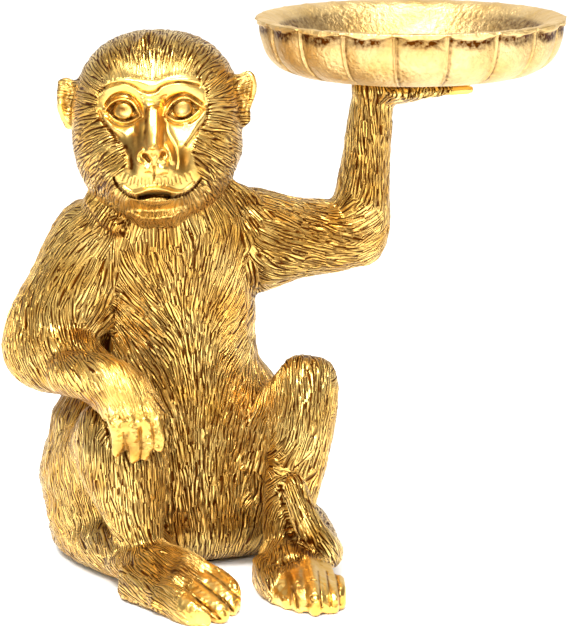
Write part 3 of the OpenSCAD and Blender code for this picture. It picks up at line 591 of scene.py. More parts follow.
# RELIEF in the frame: (kind, places, width in px, height in mm, brown wash and painted shade)
# a brown below nought lightens the wash: a painted highlight
RELIEF = [
    # brow
    ("line", [(106, 83), (120, 78), (134, 79), (145, 83), (152, 85),
              (159, 83), (168, 78), (182, 75.5), (198, 79)], 4.4, 0.4, 0.0),
    ("line", [(98, 91.5), (108, 86), (120, 82.8), (128, 83.6), (135.3, 86.9), (141.6, 90.8), (149.8, 92.6),
              (157, 90.4), (160, 87.2), (167, 83.7), (179, 81.8), (188, 82.8), (199, 85.6)],
     1.2, -0.6, 0.85),
    # sockets and eyes: the brown over the eyeballs and the dark band across them are painted reflection,
    # their dark corners are painted shade, the brown lines round them are wash and painted shade, and the
    # marks that lighten them are painted highlights
    ("blob", [(123, 109)], (19, 15), -1.5, 0.1), ("blob", [(182, 107)], (19, 15), -1.5, 0.1),
    ("ball", [(122.8, 110.8)], 10.4, 2.1, 0.8), ("ball", [(182.6, 108.4)], 10.4, 2.1, 0.8),
    ("line", [(105.5, 110.5), (111, 103.5), (118, 99.8), (125, 99.6),
              (131.5, 102.2), (136.5, 108.5), (140, 116)], 1.7, 1.6, 0.0),
    ("line", [(165.5, 115), (169.5, 107), (175, 100.6), (182, 97.6),
              (189.5, 98.8), (197, 103.6), (206, 108.6)], 1.7, 1.6, 0.0),
    ("line", [(110.5, 109.5), (115.5, 104), (121, 102), (127, 102.6), (132.5, 106.6), (136, 113)],
     0.9, -0.5, 0.9),
    ("line", [(169.5, 113.5), (173.5, 106), (178.5, 101.4), (184, 100), (190, 102.2), (196, 107)],
     0.9, -0.5, 0.9),
    ("line", [(105.5, 105), (111.5, 97.2), (119, 93.8), (126, 93.8), (133, 97.6), (138.5, 105)],
     1.3, -0.7, 0.8),
    ("line", [(164.5, 104), (170.5, 98), (178, 94.4), (185.5, 94.2), (193.5, 98), (203, 104.5)],
     1.3, -0.7, 0.8),
    ("blob", [(163.5, 101)], (3, 6), -0.5, 0.8), ("blob", [(138.8, 108.5)], (2.5, 5), -0.4, 0.7),
    ("line", [(109, 113.5), (115, 119.6), (122, 122.2), (129, 121.8), (138, 117.5)], 1.4, 1.1, 0.0),
    ("line", [(167.5, 116), (175, 120.4), (183, 120.8), (190.5, 118), (199, 110.5)], 1.4, 1.1, 0.0),
    ("line", [(109.5, 111), (113.5, 116), (119.5, 119.6), (126, 120), (132, 118.4), (137.5, 115.5)],
     1.3, -0.7, 1.0),
    ("line", [(168.5, 114.5), (175, 118.2), (182, 118.6), (189, 116), (196, 110)], 1.3, -0.7, 1.0),
    ("line", [(109, 118), (116, 124), (124, 126.4), (133, 124), (138, 120)], 1.1, -0.4, 0.6),
    ("line", [(168, 119.5), (175, 123.8), (182, 124.8)], 1.1, -0.4, 0.6),
    ("line", [(190, 122.5), (197, 117), (203, 110.5)], 1.1, -0.35, 0.5),
    ("line", [(115.5, 107.5), (123.5, 110), (130, 108)], 1.8, 0.0, 0.7),
    ("line", [(176, 105), (183, 107.6), (190, 105)], 1.8, 0.0, 0.7),
    ("blob", [(123.5, 105.4)], (4, 2.2), 0.0, -0.8), ("blob", [(182.4, 103.2)], (4, 2.4), 0.0, -0.85),
    ("blob", [(123.5, 114)], (5, 2.6), 0.0, -0.45), ("blob", [(183, 112)], (5, 2.4), 0.0, -0.35),
    ("blob", [(111, 110.5)], (2.3, 4.5), 0.0, 0.8), ("blob", [(171, 110)], (2.3, 5), 0.0, 0.85),
    ("blob", [(134, 112)], (2.6, 4), 0.0, 0.8), ("blob", [(194.5, 108)], (2.6, 4.2), 0.0, 0.8),
    # nose: the brown down its sides and the brown blobs under it are painted shade, and the brown in the
    # nostrils is wash and painted shade
    ("flat", [(153.4, 112), (153.4, 130), (153.4, 144)], 6.2, 1.4, 0.0),
    ("blob", [(154, 150)], (12, 20), 1.8, 0.0),
    ("line", [(147, 108), (153, 107), (159, 108)], 1.0, 0.3, 0.0),
    ("line", [(146, 109), (145.4, 125), (143.6, 140)], 2.6, -0.3, 0.95),
    ("blob", [(141, 116)], (4.5, 14), -0.6, 0.7), ("blob", [(138, 140)], (5, 14), -0.4, 0.6),
    ("blob", [(163.4, 116)], (3.2, 14), -0.5, 0.5), ("blob", [(163.2, 138)], (2.4, 12), -0.3, 0.5),
    ("blob", [(153.4, 150)], (9, 4.5), 0.7, 0.0),
    ("line", [(142.5, 149.5), (138, 153.5), (136.8, 158.5), (139, 163), (143, 165)], 1.6, 0.7, 0.0),
    ("line", [(163, 148.5), (166.4, 151.5), (167.2, 157), (164.6, 161.5)], 1.6, 0.6, 0.0),
    ("line", [(144, 155.6), (146.8, 158), (149, 160.6)], 1.7, -1.3, 1.0),
    ("line", [(161.4, 156), (163, 153.8)], 1.7, -1.0, 0.95), ("blob", [(164.6, 160)], (1.6, 1.4), -0.2, 0.7),
    ("line", [(146, 154.4), (149.8, 156.8), (152, 161), (153.6, 167)], 0.9, -0.3, 0.7),
    ("line", [(160.6, 157), (157.6, 160.5), (155.6, 165), (154.3, 169)], 0.9, -0.3, 0.6),
    ("line", [(151.6, 155), (153.4, 157), (156, 155)], 1.2, -0.3, 0.5),
    ("line", [(154.2, 167), (154.2, 174), (154, 181)], 1.0, -0.5, 0.85),
    ("blob", [(146, 178)], (14, 4), 0.0, 0.3), ("blob", [(172, 177)], (12, 4), 0.0, 0.3),
    # muzzle and mouth: the brown in the lines of the lips is wash and painted shade, and the brown blobs over
    # the muzzle, under the lip and on the cheeks are painted shade
    ("blob", [(146, 168)], (7, 7), 0.8, 0.0), ("blob", [(163.5, 168)], (8, 8), 0.9, 0.0),
    ("line", [(150, 173), (158, 176), (166, 175)], 1.6, -0.2, 0.5),
    ("line", [(113.8, 178), (117, 186), (123, 192.4), (131, 197), (138, 199)], 1.3, -0.9, 0.95),
    ("line", [(168, 198.4), (178, 196.6), (188, 193), (195.6, 187), (201, 179)], 1.3, -0.9, 0.9),
    ("ridge", [(140, 197.4), (148, 195.8), (156, 195), (163, 195.2), (168, 196.4)], 2.6, -2.0, 1.0),
    ("line", [(122, 188), (130, 193.6), (138, 193.2), (147, 190), (156, 189), (166, 190), (174, 192.6),
              (184, 192), (194, 185)], 2.6, 0.9, 0.0),
    ("line", [(141, 200.6), (149, 202.2), (157, 202.4), (165, 201.4), (171, 199.6)], 1.5, 1.0, 0.0),
    ("line", [(137, 201.5), (146, 204.6), (154, 205.6), (163, 205), (170, 202.6)], 1.1, -0.3, 0.6),
    ("blob", [(158, 207)], (9, 2), -0.15, 0.45), ("blob", [(157, 184)], (40, 9), 0.0, 0.38),
    ("blob", [(131, 148)], (9, 20), 0.0, 0.35), ("blob", [(186, 160)], (8, 14), 0.0, 0.3),
    ("line", [(168, 197.6), (178, 196.8), (189, 193)], 3.0, 0.0, 0.65),
    # folds beside the nose and the edge of the mask: the brown in the folds is wash and painted shade, and
    # the brown blobs beside them are painted shade
    ("line", [(99.6, 111), (102.6, 120), (110, 129.5), (117, 137.6)], 1.8, -0.5, 0.9),
    ("line", [(117, 137.6), (125, 147), (131, 157), (131, 168)], 5.5, -0.4, 0.9),
    ("blob", [(133, 164)], (6, 11), -0.3, 0.85), ("blob", [(134, 142)], (6, 11), 0.0, 0.75),
    ("line", [(208, 110), (205.4, 120), (198.6, 128.6), (192, 138), (187.6, 144)], 1.8, -0.4, 0.8),
    ("line", [(167.4, 145), (170.4, 152), (172.4, 161)], 2.4, 0.8, 0.0),
    ("line", [(165.6, 122), (167.4, 134), (174, 146), (177, 158), (176, 168)], 1.6, -0.3, 0.6),
    ("blob", [(183.5, 159)], (7.5, 14), -0.4, 0.62), ("blob", [(196, 168)], (6, 10), 0.0, 0.4),
    # short hair on the lips and the bridge of the nose
    *[("line", [(x, y), (x + (x - 154) * 0.06, y + 5.5)], 0.8, -0.25, 0.6)
      for x, y in ((128, 176), (131, 178.5), (134.5, 177), (138, 179.5), (141.5, 178), (145, 180),
                   (149, 179), (158, 179.5), (161.5, 177.5), (165, 179.5), (168.5, 177), (172, 178.5),
                   (176, 176), (180, 177.5), (185, 174.5), (124, 174), (190, 173))],
    ("line", [(143, 97), (150, 98.5), (158, 98), (166, 95)], 1.0, -0.25, 0.4),
    ("line", [(144, 101), (151, 102.5), (160, 101)], 1.0, -0.25, 0.4),
    # ears: the brown in their hollows is painted shade
    ("blob", [(70, 100)], (8, 18), -1.1, 0.35), ("blob", [(246, 96)], (7, 18), -1.1, 0.35),
    ("line", EAR_RIMS[0], 3.0, 0.5, 0.0), ("line", EAR_RIMS[1], 3.0, 0.5, 0.0),
    ("line", [(66, 84), (72, 92), (68, 100)], 1.8, 0.7, 0.0),
    ("line", [(74, 86), (77, 96), (74, 108)], 1.8, 0.6, 0.0),
    ("line", [(244, 80), (240, 90), (244, 100)], 1.8, 0.7, 0.0),
    ("line", [(248, 88), (246, 100), (243, 112)], 1.6, 0.5, 0.0),
]
# the same on the hands and feet: the brown in the gaps between fingers and toes and where the tail meets the
# leg is wash and painted shade, the brown blobs over the fingers and feet are painted shade, and the brown
# below nought on the tail's tip is a painted highlight
LIMB_RELIEF = [
    ("line", [(123.8, 434), (124.8, 444), (125, 460)], 1.5, -0.3, 0.75),
    ("line", [(139.6, 428), (141, 442), (140, 461)], 1.1, -0.3, 0.8),
    ("line", [(151.6, 424), (152.9, 438), (152.8, 455)], 1.1, -0.3, 0.75),
    ("line", [(104, 420), (108, 434), (110.4, 448), (111, 459)], 1.2, -0.2, 0.6),
    ("blob", [(127, 435)], (3.4, 4.4), -0.4, 0.75), ("blob", [(140, 431)], (2.2, 6), -0.3, 0.85),
    ("blob", [(157.3, 445)], (2, 2), -0.3, 0.7),
    ("line", [(106, 414), (112, 418), (117, 415), (122, 420), (128, 418)], 1.4, -0.3, 0.5),
    ("line", [(131, 413), (138, 420), (146, 416), (153, 424)], 1.6, -0.2, 0.45),
    ("blob", [(136, 438)], (3, 3), 0.3, 0.0), ("blob", [(147.5, 438.5)], (3, 3), 0.3, 0.0),
    # painted shade over the fingers
    ("blob", [(124, 424)], (22, 8), 0.0, 0.3), ("blob", [(134, 446)], (30, 16), 0.0, 0.55),
    ("line", [(285, 528), (293, 540), (303, 548), (313, 554)], 3.0, -0.6, 1.0),
    ("line", [(280.6, 486), (282.6, 505), (288, 524), (297, 537)], 1.6, -0.4, 0.8),
    ("line", [(284, 478), (292, 474), (299, 479), (303, 496), (316, 509)], 1.4, -0.35, 0.6),
    # the tail's tip: a painted highlight
    ("blob", [(292, 482)], (6, 7), 0.3, -0.5),
    # painted shade on the left foot and over the right instep
    ("blob", [(300, 590)], (6, 14), -0.5, 0.9), ("blob", [(182, 569)], (18, 8), 0.0, 0.4),
    ("line", [(112, 430), (120, 431.5)], 1.0, -0.15, 0.35),
    ("line", [(112, 441), (121, 442)], 0.9, -0.12, 0.3),
    ("line", [(129.5, 443), (138, 443.6)], 0.9, -0.15, 0.35),
    ("line", [(143, 442), (151, 442.4)], 0.9, -0.15, 0.35),
    # right foot: gaps, wrinkles and the nail
    ("line", [(206, 571), (220, 581), (232, 593), (240, 598)], 1.2, -0.5, 0.9),
    ("line", [(196, 579), (212, 592), (226, 604), (233, 611)], 1.2, -0.6, 1.0),
    ("line", [(186, 589), (200, 602), (214, 614), (220, 619)], 1.2, -0.6, 1.0),
    ("line", [(216, 568), (222, 577)], 1.0, -0.2, 0.4), ("line", [(222, 571), (228, 580)], 0.9, -0.15, 0.3),
    ("line", [(231, 583), (233.5, 580.5), (237, 584), (238, 589), (235, 590.5), (231.5, 587), (231, 583)],
     0.8, -0.3, 0.7),
    ("line", [(234, 603), (237, 601), (239, 605)], 0.8, -0.25, 0.6),
    ("line", [(221, 612), (224, 610.5), (226, 614)], 0.8, -0.25, 0.6),
    ("line", [(206, 585), (210, 590)], 0.9, -0.2, 0.4), ("line", [(198, 596), (203, 600)], 0.9, -0.2, 0.4),
    # left foot
    ("line", [(303, 572), (305, 588), (308, 604)], 3.0, -0.5, 0.4),
    ("line", [(318, 572), (320, 588), (321.5, 606)], 1.1, -0.5, 0.9),
    ("line", [(326.5, 572), (329, 588), (331, 606)], 1.0, -0.5, 0.9),
    ("line", [(335.5, 574), (338.5, 588), (339.5, 604)], 1.1, -0.5, 0.9),
    ("line", [(292, 588), (296, 598), (298, 608)], 1.4, -0.5, 0.8),
    ("line", [(309, 581), (314, 580), (318, 582)], 1.0, -0.2, 0.5),
    ("line", [(310, 597), (315, 594.5), (319, 597), (317, 601), (312, 601), (310, 597)], 0.9, -0.25, 0.6),
    ("line", [(284, 597), (289, 599), (290, 604)], 1.0, -0.25, 0.6),
]
# painted shade: amber laid over the hair where it lies in shade and reflects dark surroundings: (x, y),
# (half-width, half-height), share of amber
PAINTED_SHADES = [
    ((116, 228), (26, 12), 0.5), ((222, 196), (12, 14), 0.35), ((78, 334), (12, 9), 0.75),
    ((150, 352), (18, 40), 0.3), ((168, 400), (12, 30), 0.35), ((180, 510), (14, 42), 0.5),
    ((246, 420), (16, 44), 0.4), ((262, 508), (10, 36), 0.35), ((306, 552), (14, 8), 0.7),
    ((256, 278), (18, 26), 0.3), ((330, 262), (40, 8), 0.3), ((84, 402), (18, 8), 0.6),
    ((183, 160), (8, 14), 0.9), ((163.5, 128), (4, 17), 0.7), ((138, 142), (7, 15), 0.6),
    ((182, 570), (20, 10), 0.7), ((296, 572), (18, 16), 0.7), ((160, 260), (60, 40), 0.4),
    ((320, 236), (60, 26), 0.35), ((372, 160), (22, 60), 0.35), ((212, 300), (14, 40), 0.25),
    ((60, 400), (14, 20), 0.4), ((150, 470), (12, 40), 0.3),
]


def relief(px, marks):
    """How far each place rises towards the eye in mm, and its brown wash and painted shade, where a wash
    below nought paints a highlight.
    """
    rise, marked_wash_and_shade = np.zeros(len(px)), np.zeros(len(px))
    for kind, line, width, tall, brown in marks:
        if kind == "blob":
            far = np.linalg.norm((px - line[0]) / width, axis=1)
            shape = np.exp(-far * far * 1.6)
        elif kind in ("ridge", "flat"):
            far = near_line(px, list(curve_through(line, 2.0)))[0]
            shape = np.exp(-(far / width) ** (4 if kind == "ridge" else 8))
        elif kind == "ball":
            far = np.linalg.norm(px - line[0], axis=1) / width
            shape = np.sqrt(np.clip(1 - far * far, 0, 1))
        else:
            far = near_line(px, list(curve_through(line, 2.0)))[0]
            shape = np.exp(-(far / width) ** 2)
        rise += tall * shape
        # a brown below nought lightens the wash there: a painted highlight
        marked_wash_and_shade = np.maximum(marked_wash_and_shade, brown * shape) if brown >= 0 else marked_wash_and_shade * (1 + brown * shape)
    return rise, marked_wash_and_shade


def refined(mesh, chosen):
    """The mesh with the chosen faces divided once."""
    work = bmesh.new()
    work.from_mesh(mesh)
    work.faces.ensure_lookup_table()
    edges = {e for i in chosen for e in work.faces[i].edges}
    bmesh.ops.subdivide_edges(work, edges=list(edges), cuts=1, use_grid_fill=True)
    work.to_mesh(mesh)
    work.free()
    mesh.update()


def searchable(spots, chosen):
    """A tree of the chosen spots, each found by its own number."""
    tree = KDTree(len(spots))
    for i in chosen:
        tree.insert(spots[i], i)
    tree.balance()
    return tree


def soothed(points, pairs, share, rounds):
    """Points smoothed along the skin, each by its own share."""
    points = points.copy()
    mine = np.flatnonzero(share > 0.001)
    local = np.full(len(points), -1)
    local[mine] = np.arange(len(mine))
    a, b = pairs[(local[pairs[:, 0]] >= 0) | (local[pairs[:, 1]] >= 0)].T
    ends, others = np.concatenate([a, b]), np.concatenate([b, a])
    held = local[ends] >= 0
    ends, others = local[ends[held]], others[held]
    degree = np.bincount(ends, minlength=len(mine))[:, None]
    pull = 0.6 * share[mine, None]
    for _ in range(rounds):
        sums = [np.bincount(ends, points[others, i], minlength=len(mine)) for i in range(3)]
        points[mine] += pull * (np.stack(sums, axis=1) / degree - points[mine])
    return points


# hair laid over the skin: spacing, lengths and half-widths in mm, and how far it strays
FINE_HAIR = (1.25, (3.0, 6.0), (0.4, 0.85), 0.10)
BROAD_LOCKS = (2.3, (6.0, 9.0), (1.4, 2.6), 0.04)
THINNER = 1.0


def comb_locks(points, out, casting, tree, furry, guides, hair):
    """Lays locks of hair over the skin. Returns each point's lock, its height, its edge, and the locks."""
    spacing, length, width, spread = hair
    order = rng.permutation(np.flatnonzero(furry))
    cells = np.floor(points[order] / (spacing * THINNER)).astype(np.int64)
    key = (cells[:, 0] * 4093 + cells[:, 1]) * 4093 + cells[:, 2]
    first = np.unique(key, return_index=True)[1]
    roots = order[np.sort(first)]
    p, n = points[roots], out[roots]
    way = hair_way(p, n, casting[roots], *guides)
    turn = rng.normal(0, spread, len(roots))
    way = unit(way * np.cos(turn)[:, None] + np.cross(n, way) * np.sin(turn)[:, None])
    across = np.cross(n, way)
    length = rng.uniform(*length, len(roots))
    width = rng.uniform(*width, len(roots))
    ahead = hair_way(p + way * length[:, None], n, casting[roots], *guides)
    bend = np.sum(ahead * across, axis=1) / np.maximum(np.sum(ahead * way, axis=1), 0.5) / length / 2
    bend = np.clip(bend, -0.08, 0.08) + rng.normal(0, spread * 0.12, len(roots))
    tall = rng.uniform(0.65, 1.0, len(roots))
    height = np.zeros(len(points))
    winner = np.full(len(points), -1)
    edge = np.ones(len(points))
    for k in range(len(roots)):
        middle = p[k] + way[k] * length[k] * 0.5
        found = np.array([f[1] for f in tree.find_range(middle, length[k] * 0.5 + width[k] * 0.3)])
        if len(found) == 0:
            continue
        found = found[out[found] @ n[k] > 0.2]
        gap = points[found] - p[k]
        s = gap @ way[k]
        t = gap @ across[k] - bend[k] * s * s
        share = np.clip(s / length[k], 0, 1)
        half = width[k] * np.minimum(1, 4 * share + 0.5) * np.sqrt(np.clip(1 - share**3, 0, 1)) + 1e-6
        off = np.abs(t) / half
        rise = tall[k] * (0.25 + 0.75 * share) * np.sqrt(np.clip(1 - off * off, 0, 1))
        rise[(s < -0.15 * length[k]) | (s > length[k])] = 0
        better = rise > height[found]
        chosen = found[better]
        height[chosen] = rise[better]
        winner[chosen] = k
        edge[chosen] = off[better]
    return winner, height, edge, {"root": p, "way": way, "across": across, "bend": bend}


def mesh_arrays(mesh):
    """How many corners each face has, and every corner's vertex."""
    total, corner = np.empty(len(mesh.polygons), dtype=np.int64), np.empty(len(mesh.loops), dtype=np.int64)
    mesh.polygons.foreach_get("loop_total", total)
    mesh.loops.foreach_get("vertex_index", corner)
    return total, corner


CAP_DEPTH = 0.08  # how far a cap's hub goes towards the part's middle, as a share of the way


def caps_over(spots, a, b):
    """The hubs and triangles that close each open rim. a and b are the ends of the faces' sides, in order."""
    many = len(spots)
    there = set((a * many + b).tolist())
    rim = [i for i, code in enumerate((b * many + a).tolist()) if code not in there]
    leaving = {}
    for i in rim:
        leaving.setdefault(int(b[i]), []).append(int(a[i]))
    hubs, triangles = [], []
    middle = spots.mean(axis=0)
    while leaving:
        start = next(iter(leaving))
        loop, here = [], start
        while here in leaving:
            step = leaving[here].pop()
            if not leaving[here]:
                del leaving[here]
            loop.append(here)
            here = step
        centre = spots[loop].mean(axis=0)
        for i, j in zip(loop, loop[1:] + loop[:1]):
            triangles.append((i, j, many + len(hubs)))
        hubs.append(centre + (middle - centre) * CAP_DEPTH)
    return hubs, np.array(triangles, dtype=np.int64).reshape(-1, 3)


def parted(name, points, total, corner, keep, vertex_values, comb):
    """One casting's share of the skin, closed where it meets its neighbours."""
    face_of = np.repeat(np.arange(len(total)), total)
    loops = np.flatnonzero(keep[face_of])
    used, flat = np.unique(corner[loops], return_inverse=True)
    sizes = total[keep]
    spots = points[used]
    starts = np.concatenate([[0], np.cumsum(sizes)[:-1]])
    ends = starts + sizes - 1
    nxt = np.arange(len(flat)) + 1
    nxt[ends] = starts
    hubs, caps = caps_over(spots, flat, flat[nxt])
    all_points = np.vstack([spots, *hubs])
    mesh = bpy.data.meshes.new(name)
    mesh.vertices.add(len(all_points))
    mesh.loops.add(len(flat) + caps.size)
    mesh.polygons.add(len(sizes) + len(caps))
    mesh.vertices.foreach_set("co", (all_points * MM).astype(np.float32).ravel())
    mesh.loops.foreach_set("vertex_index", np.concatenate([flat, caps.ravel()]).astype(np.int32))
    lengths = np.concatenate([sizes, np.full(len(caps), 3)])
    mesh.polygons.foreach_set("loop_start", np.concatenate([[0], np.cumsum(lengths)[:-1]]).astype(np.int32))
    mesh.polygons.foreach_set("use_smooth", np.ones(len(lengths), dtype=bool))
    mesh.update(calc_edges=True)
    mesh.validate()
    for label, values in vertex_values.items():
        layer = mesh.attributes.new(label, "FLOAT", "POINT")
        filled = np.concatenate([values[used], np.ones(len(hubs))])
        layer.data.foreach_set("value", filled.astype(np.float32))
    layer = mesh.attributes.new("comb", "FLOAT_VECTOR", "CORNER")
    filled = np.vstack([comb[loops], np.zeros((caps.size, 3))])
    layer.data.foreach_set("vector", filled.astype(np.float32).ravel())
    return mesh


# SKIN
def face_values(mesh, points, out):
    """Each face's corner count, the corners' points and faces, and the faces' middles and outward ways."""
    total, corner = mesh_arrays(mesh)
    face_of = np.repeat(np.arange(len(total)), total)
    centres = np.stack([np.bincount(face_of, points[corner, i]) for i in range(3)], axis=1) / total[:, None]
    face_out = unit(np.stack([np.bincount(face_of, out[corner, i]) for i in range(3)], axis=1))
    return total, corner, face_of, centres, face_out


COARSE_VOXEL = 0.5
FINE_VOXEL = 0.32
FINER_BEFORE = -12  # the front of the figure, in mm along Y
FACE_BEFORE = -14
CLAY_BEFORE = -10
MASK_ROUNDS = 220
CLAY_ROUNDS = 50


def fused(joined):
    """The castings and the clay as one skin, finer at the face, the hand and the feet."""
    rough = evaluated("rough", joined, ("REMESH", {"mode": "VOXEL", "voxel_size": COARSE_VOXEL}),
                      ("SMOOTH", {"factor": 0.5, "iterations": 6}))
    skin = evaluated("skin", largest_island(rough), ("REMESH", {"mode": "VOXEL", "voxel_size": FINE_VOXEL}),
                     ("SMOOTH", {"factor": 0.5, "iterations": 3}))
    skin = largest_island(skin)
    centres, face_out = face_values(skin, places(skin), normals(skin))[3:]
    seen_px = to_px(centres)
    close = np.zeros(len(centres), dtype=bool)
    for outline in CLOSE:
        close |= inside(outline, seen_px)
    close &= (face_out @ TOWARDS_EYE > 0.1) & (centres[:, 1] < FINER_BEFORE)
    refined(skin, np.flatnonzero(close))
    return skin


def modelled(skin):
    """The skin's points once the mask and the clay are smoothed, the face's planes cut and the pulls made."""
    points, facing = places(skin), normals(skin) @ TOWARDS_EYE
    px = to_px(points)
    mask = smoothstep(depth_in(MASK, px), 0.0, 8.0) * (facing > 0.0) * (points[:, 1] < FACE_BEFORE)
    pairs = np.empty(len(skin.edges) * 2, dtype=np.int64)
    skin.edges.foreach_get("vertices", pairs)
    pairs = pairs.reshape(-1, 2)
    points = soothed(points, pairs, mask, MASK_ROUNDS)
    for outline in SMOOTHED:
        edge = near_line(px, outline + outline[:1])[0] * inside(outline, px)
        share = smoothstep(edge, 0.0, 6.0) * (points[:, 1] < CLAY_BEFORE)
        points = soothed(points, pairs, share, CLAY_ROUNDS)
    points = faceted(points, px, (facing > -0.1) * (points[:, 1] < FACE_BEFORE))
    for spot, size, (right, up) in PULLS:
        near = np.exp(-np.sum(((px - spot) / size) ** 2, axis=1))
        points[:, 0] += right * near
        points[:, 2] += up * near
    return points


make_camera()
joined, casting_tree, casting_of_face = joined_castings()
skin = fused(joined)
set_places(skin, modelled(skin))
points, out = places(skin), normals(skin)
vertex_px = to_px(points)
total, corner, face_of_corner, centres, face_out = face_values(skin, points, out)
face_px = to_px(centres)
face_facing = face_out @ TOWARDS_EYE
face_casting = np.array([casting_of_face[casting_tree.find_nearest(c)[2]] for c in centres])
count = np.bincount(corner, minlength=len(points))


def at_vertices(values):
    """The mean of the faces' values round each vertex."""
    return np.bincount(corner, values[face_of_corner], minlength=len(points)) / count


HEAD = CASTINGS.index("head")
LIMBS_BELOW_PX = 400
DIMPLES = ((1.2, 1.0), (2.3, 0.5))  # how many to a mm, and how strong
DIMPLE_DEPTH = 0.13
LOCK_HEIGHT = 0.42
SKIN_LEVEL = 0.55  # the share of a lock's height at which the skin stays where it was
BOX_MARGIN = 0.05


def painted_amber_shade():
    """How far each face is painted with amber shade, from the table of painted shades above."""
    painted_shade = np.zeros(len(centres))
    for spot, size, brown in PAINTED_SHADES:
        far = np.linalg.norm((face_px - spot) / size, axis=1)
        painted_shade = np.maximum(painted_shade, brown * np.exp(-far**2))
    return painted_shade * smoothstep(face_facing, -0.2, 0.3)


def carved(bare):
    """How far each point moves towards the eye in mm for relief and dimples, and its wash and painted shade.
    """
    head = at_vertices((face_casting == HEAD).astype(float))
    rise, marked_wash_and_shade = relief(vertex_px, RELIEF)
    limb_rise, limb_wash_and_shade = relief(vertex_px, LIMB_RELIEF)
    front = smoothstep(out @ TOWARDS_EYE, 0.0, 0.3)
    lower = front * (1 - head) * (vertex_px[:, 1] > LIMBS_BELOW_PX)
    front = front * head
    shift = rise * front + limb_rise * lower
    limb_skin = np.flatnonzero((bare > 0.3) & (lower > 0))
    dimple = np.array([sum(share * noise.noise(Vector(p) * many) for many, share in DIMPLES)
                       for p in points[limb_skin]])
    shift[limb_skin] += DIMPLE_DEPTH * dimple * bare[limb_skin]
    return shift, marked_wash_and_shade * front + limb_wash_and_shade * lower


def within_box(spots):
    """The points held a little inside the castings' own box."""
    low, high = (np.array(end) / MM for end in cad_box)
    return np.clip(spots, low + [BOX_MARGIN, BOX_MARGIN, 0], high - BOX_MARGIN)


def combed_places(own, locks):
    """For each corner: how far beside and along its lock it lies in mm, and a number for the lock."""
    known = own >= 0
    mine = own[known]
    result = np.zeros((len(corner), 3))
    gap = points[corner[known]] - locks["root"][mine]
    along = np.sum(gap * locks["way"][mine], axis=1)
    side = np.sum(gap * locks["across"][mine], axis=1) - locks["bend"][mine] * along**2
    result[known] = np.stack([side, along, mine * 0.37 % 50.0], axis=1)
    return result


skin_tree = BVHTree.FromPolygons([tuple(p) for p in points], [tuple(p.vertices) for p in skin.polygons])
guides = stroke_guides(skin_tree)
face_bare = bare_share(face_px, face_facing, face_casting)
furry = face_bare < 0.97
fur_tree = searchable(centres, np.flatnonzero(furry))
combing = (centres, face_out, face_casting, fur_tree, furry, guides)
height, edge = comb_locks(*combing, FINE_HAIR)[1:3]
winner, _, _, locks = comb_locks(*combing, BROAD_LOCKS)
root_tree = searchable(locks["root"], range(len(locks["root"])))
for i in np.flatnonzero(furry & (winner < 0)):
    winner[i] = root_tree.find(centres[i])[1]
# painted shade in amber over the hair
painted_shade = at_vertices(painted_amber_shade())
lift = at_vertices(height)
seam = at_vertices(np.where(height > 0, edge, 1.0))
bare = at_vertices(face_bare)
shift, marked_wash_and_shade = carved(bare)
raised = out * (LOCK_HEIGHT * (lift - SKIN_LEVEL) * (1 - bare))[:, None]
points = within_box(points + raised + TOWARDS_EYE * shift[:, None])
comb = combed_places(winner[face_of_corner], locks)
# the brown wash in the gaps between locks, with the marks' wash, painted shade and painted highlights
wash_and_shade = np.maximum(smoothstep(seam, 0.65, 1.0) * (1 - bare) * 0.6, marked_wash_and_shade)


# MATERIALS
def linear(code):
    """A colour such as #c8973c as linear RGBA."""
    parts = [int(code[i:i + 2], 16) / 255 for i in (1, 3, 5)]
    return tuple(c / 12.92 if c <= 0.04045 else ((c + 0.055) / 1.055) ** 2.4 for c in parts) + (1.0,)


def node(tree, kind, values=None, links=None, **settings):
    """Adds a node, sets its settings and its inputs' values, and links its inputs."""
    made = tree.nodes.new(kind)
    for key, value in settings.items():
        setattr(made, key, value)
    for key, value in (values or {}).items():
        made.inputs[key].default_value = value
    for key, socket in (links or {}).items():
        tree.links.new(socket, made.inputs[key])
    return made


def a_metre(size):
    """How many times a pattern of this size in mm goes in a metre, which is a noise texture's scale."""
    return 1 / (size * MM)


def new_material(name):
    material = bpy.data.materials.new(name)
    material.use_nodes = True
    tree = material.node_tree
    tree.nodes.clear()
    return material, tree


def two_tone(tree, pattern, deep, pale):
    """A colour that a pattern moves between a deep and a pale one."""
    tone = node(tree, "ShaderNodeValToRGB", links={"Fac": pattern.outputs["Fac"]})
    for stop, position, code in zip(tone.color_ramp.elements, (0.3, 0.7), (deep, pale)):
        stop.position = position
        stop.color = linear(code)
    return tone.outputs["Color"]


def finish_material(tree, shader):
    node(tree, "ShaderNodeOutputMaterial", links={"Surface": shader.outputs["BSDF"]})


# Antique gold paint on cast resin: bright on the raised hairs and skin, brown wash left in the hollows. The
# same brown also paints shade over the face, limbs and dish and is lifted for painted highlights; the amber
# mixed in is painted shade. The eye sees fine combed lines, pale gold ridges between dark brown grooves, and
# a satin sparkle, whose grain is drawn coarse enough to show.
WASH_AND_SHADE_BROWN = "#4c2403"
SHADE_AMBER = "#a8680e"
BLOTCH_MM = 20 / 3
GRAIN_MM = 5 / 11
FUR_DENT_MM = 25 / 13
DISH_DENT_MM = 10 / 11
UNEVEN_DEPTH = 0.0003
GRAIN_DEPTH = 0.0001
HAIR_DEPTH = 0.0004
STRANDS_A_MM = 1.55
# how fast the strands' drift, their gaps and the finest hairs change across, along and between locks, a mm
DRIFT = (0.5, 0.1, 1.0)
GAPS = (1.5, 0.22, 1.0)
FINEST = (2.2, 0.14, 1.0)


def strand_noise(tree, strand, pace):
    """A noise over the locks, which changes at its own pace across, along and between them."""
    place = node(tree, "ShaderNodeMapping", {"Scale": pace}, {"Vector": strand}).outputs["Vector"]
    return node(tree, "ShaderNodeTexNoise", {"Scale": 1.0, "Detail": 1.0, "Distortion": 0.2},
                {"Vector": place}).outputs["Fac"]


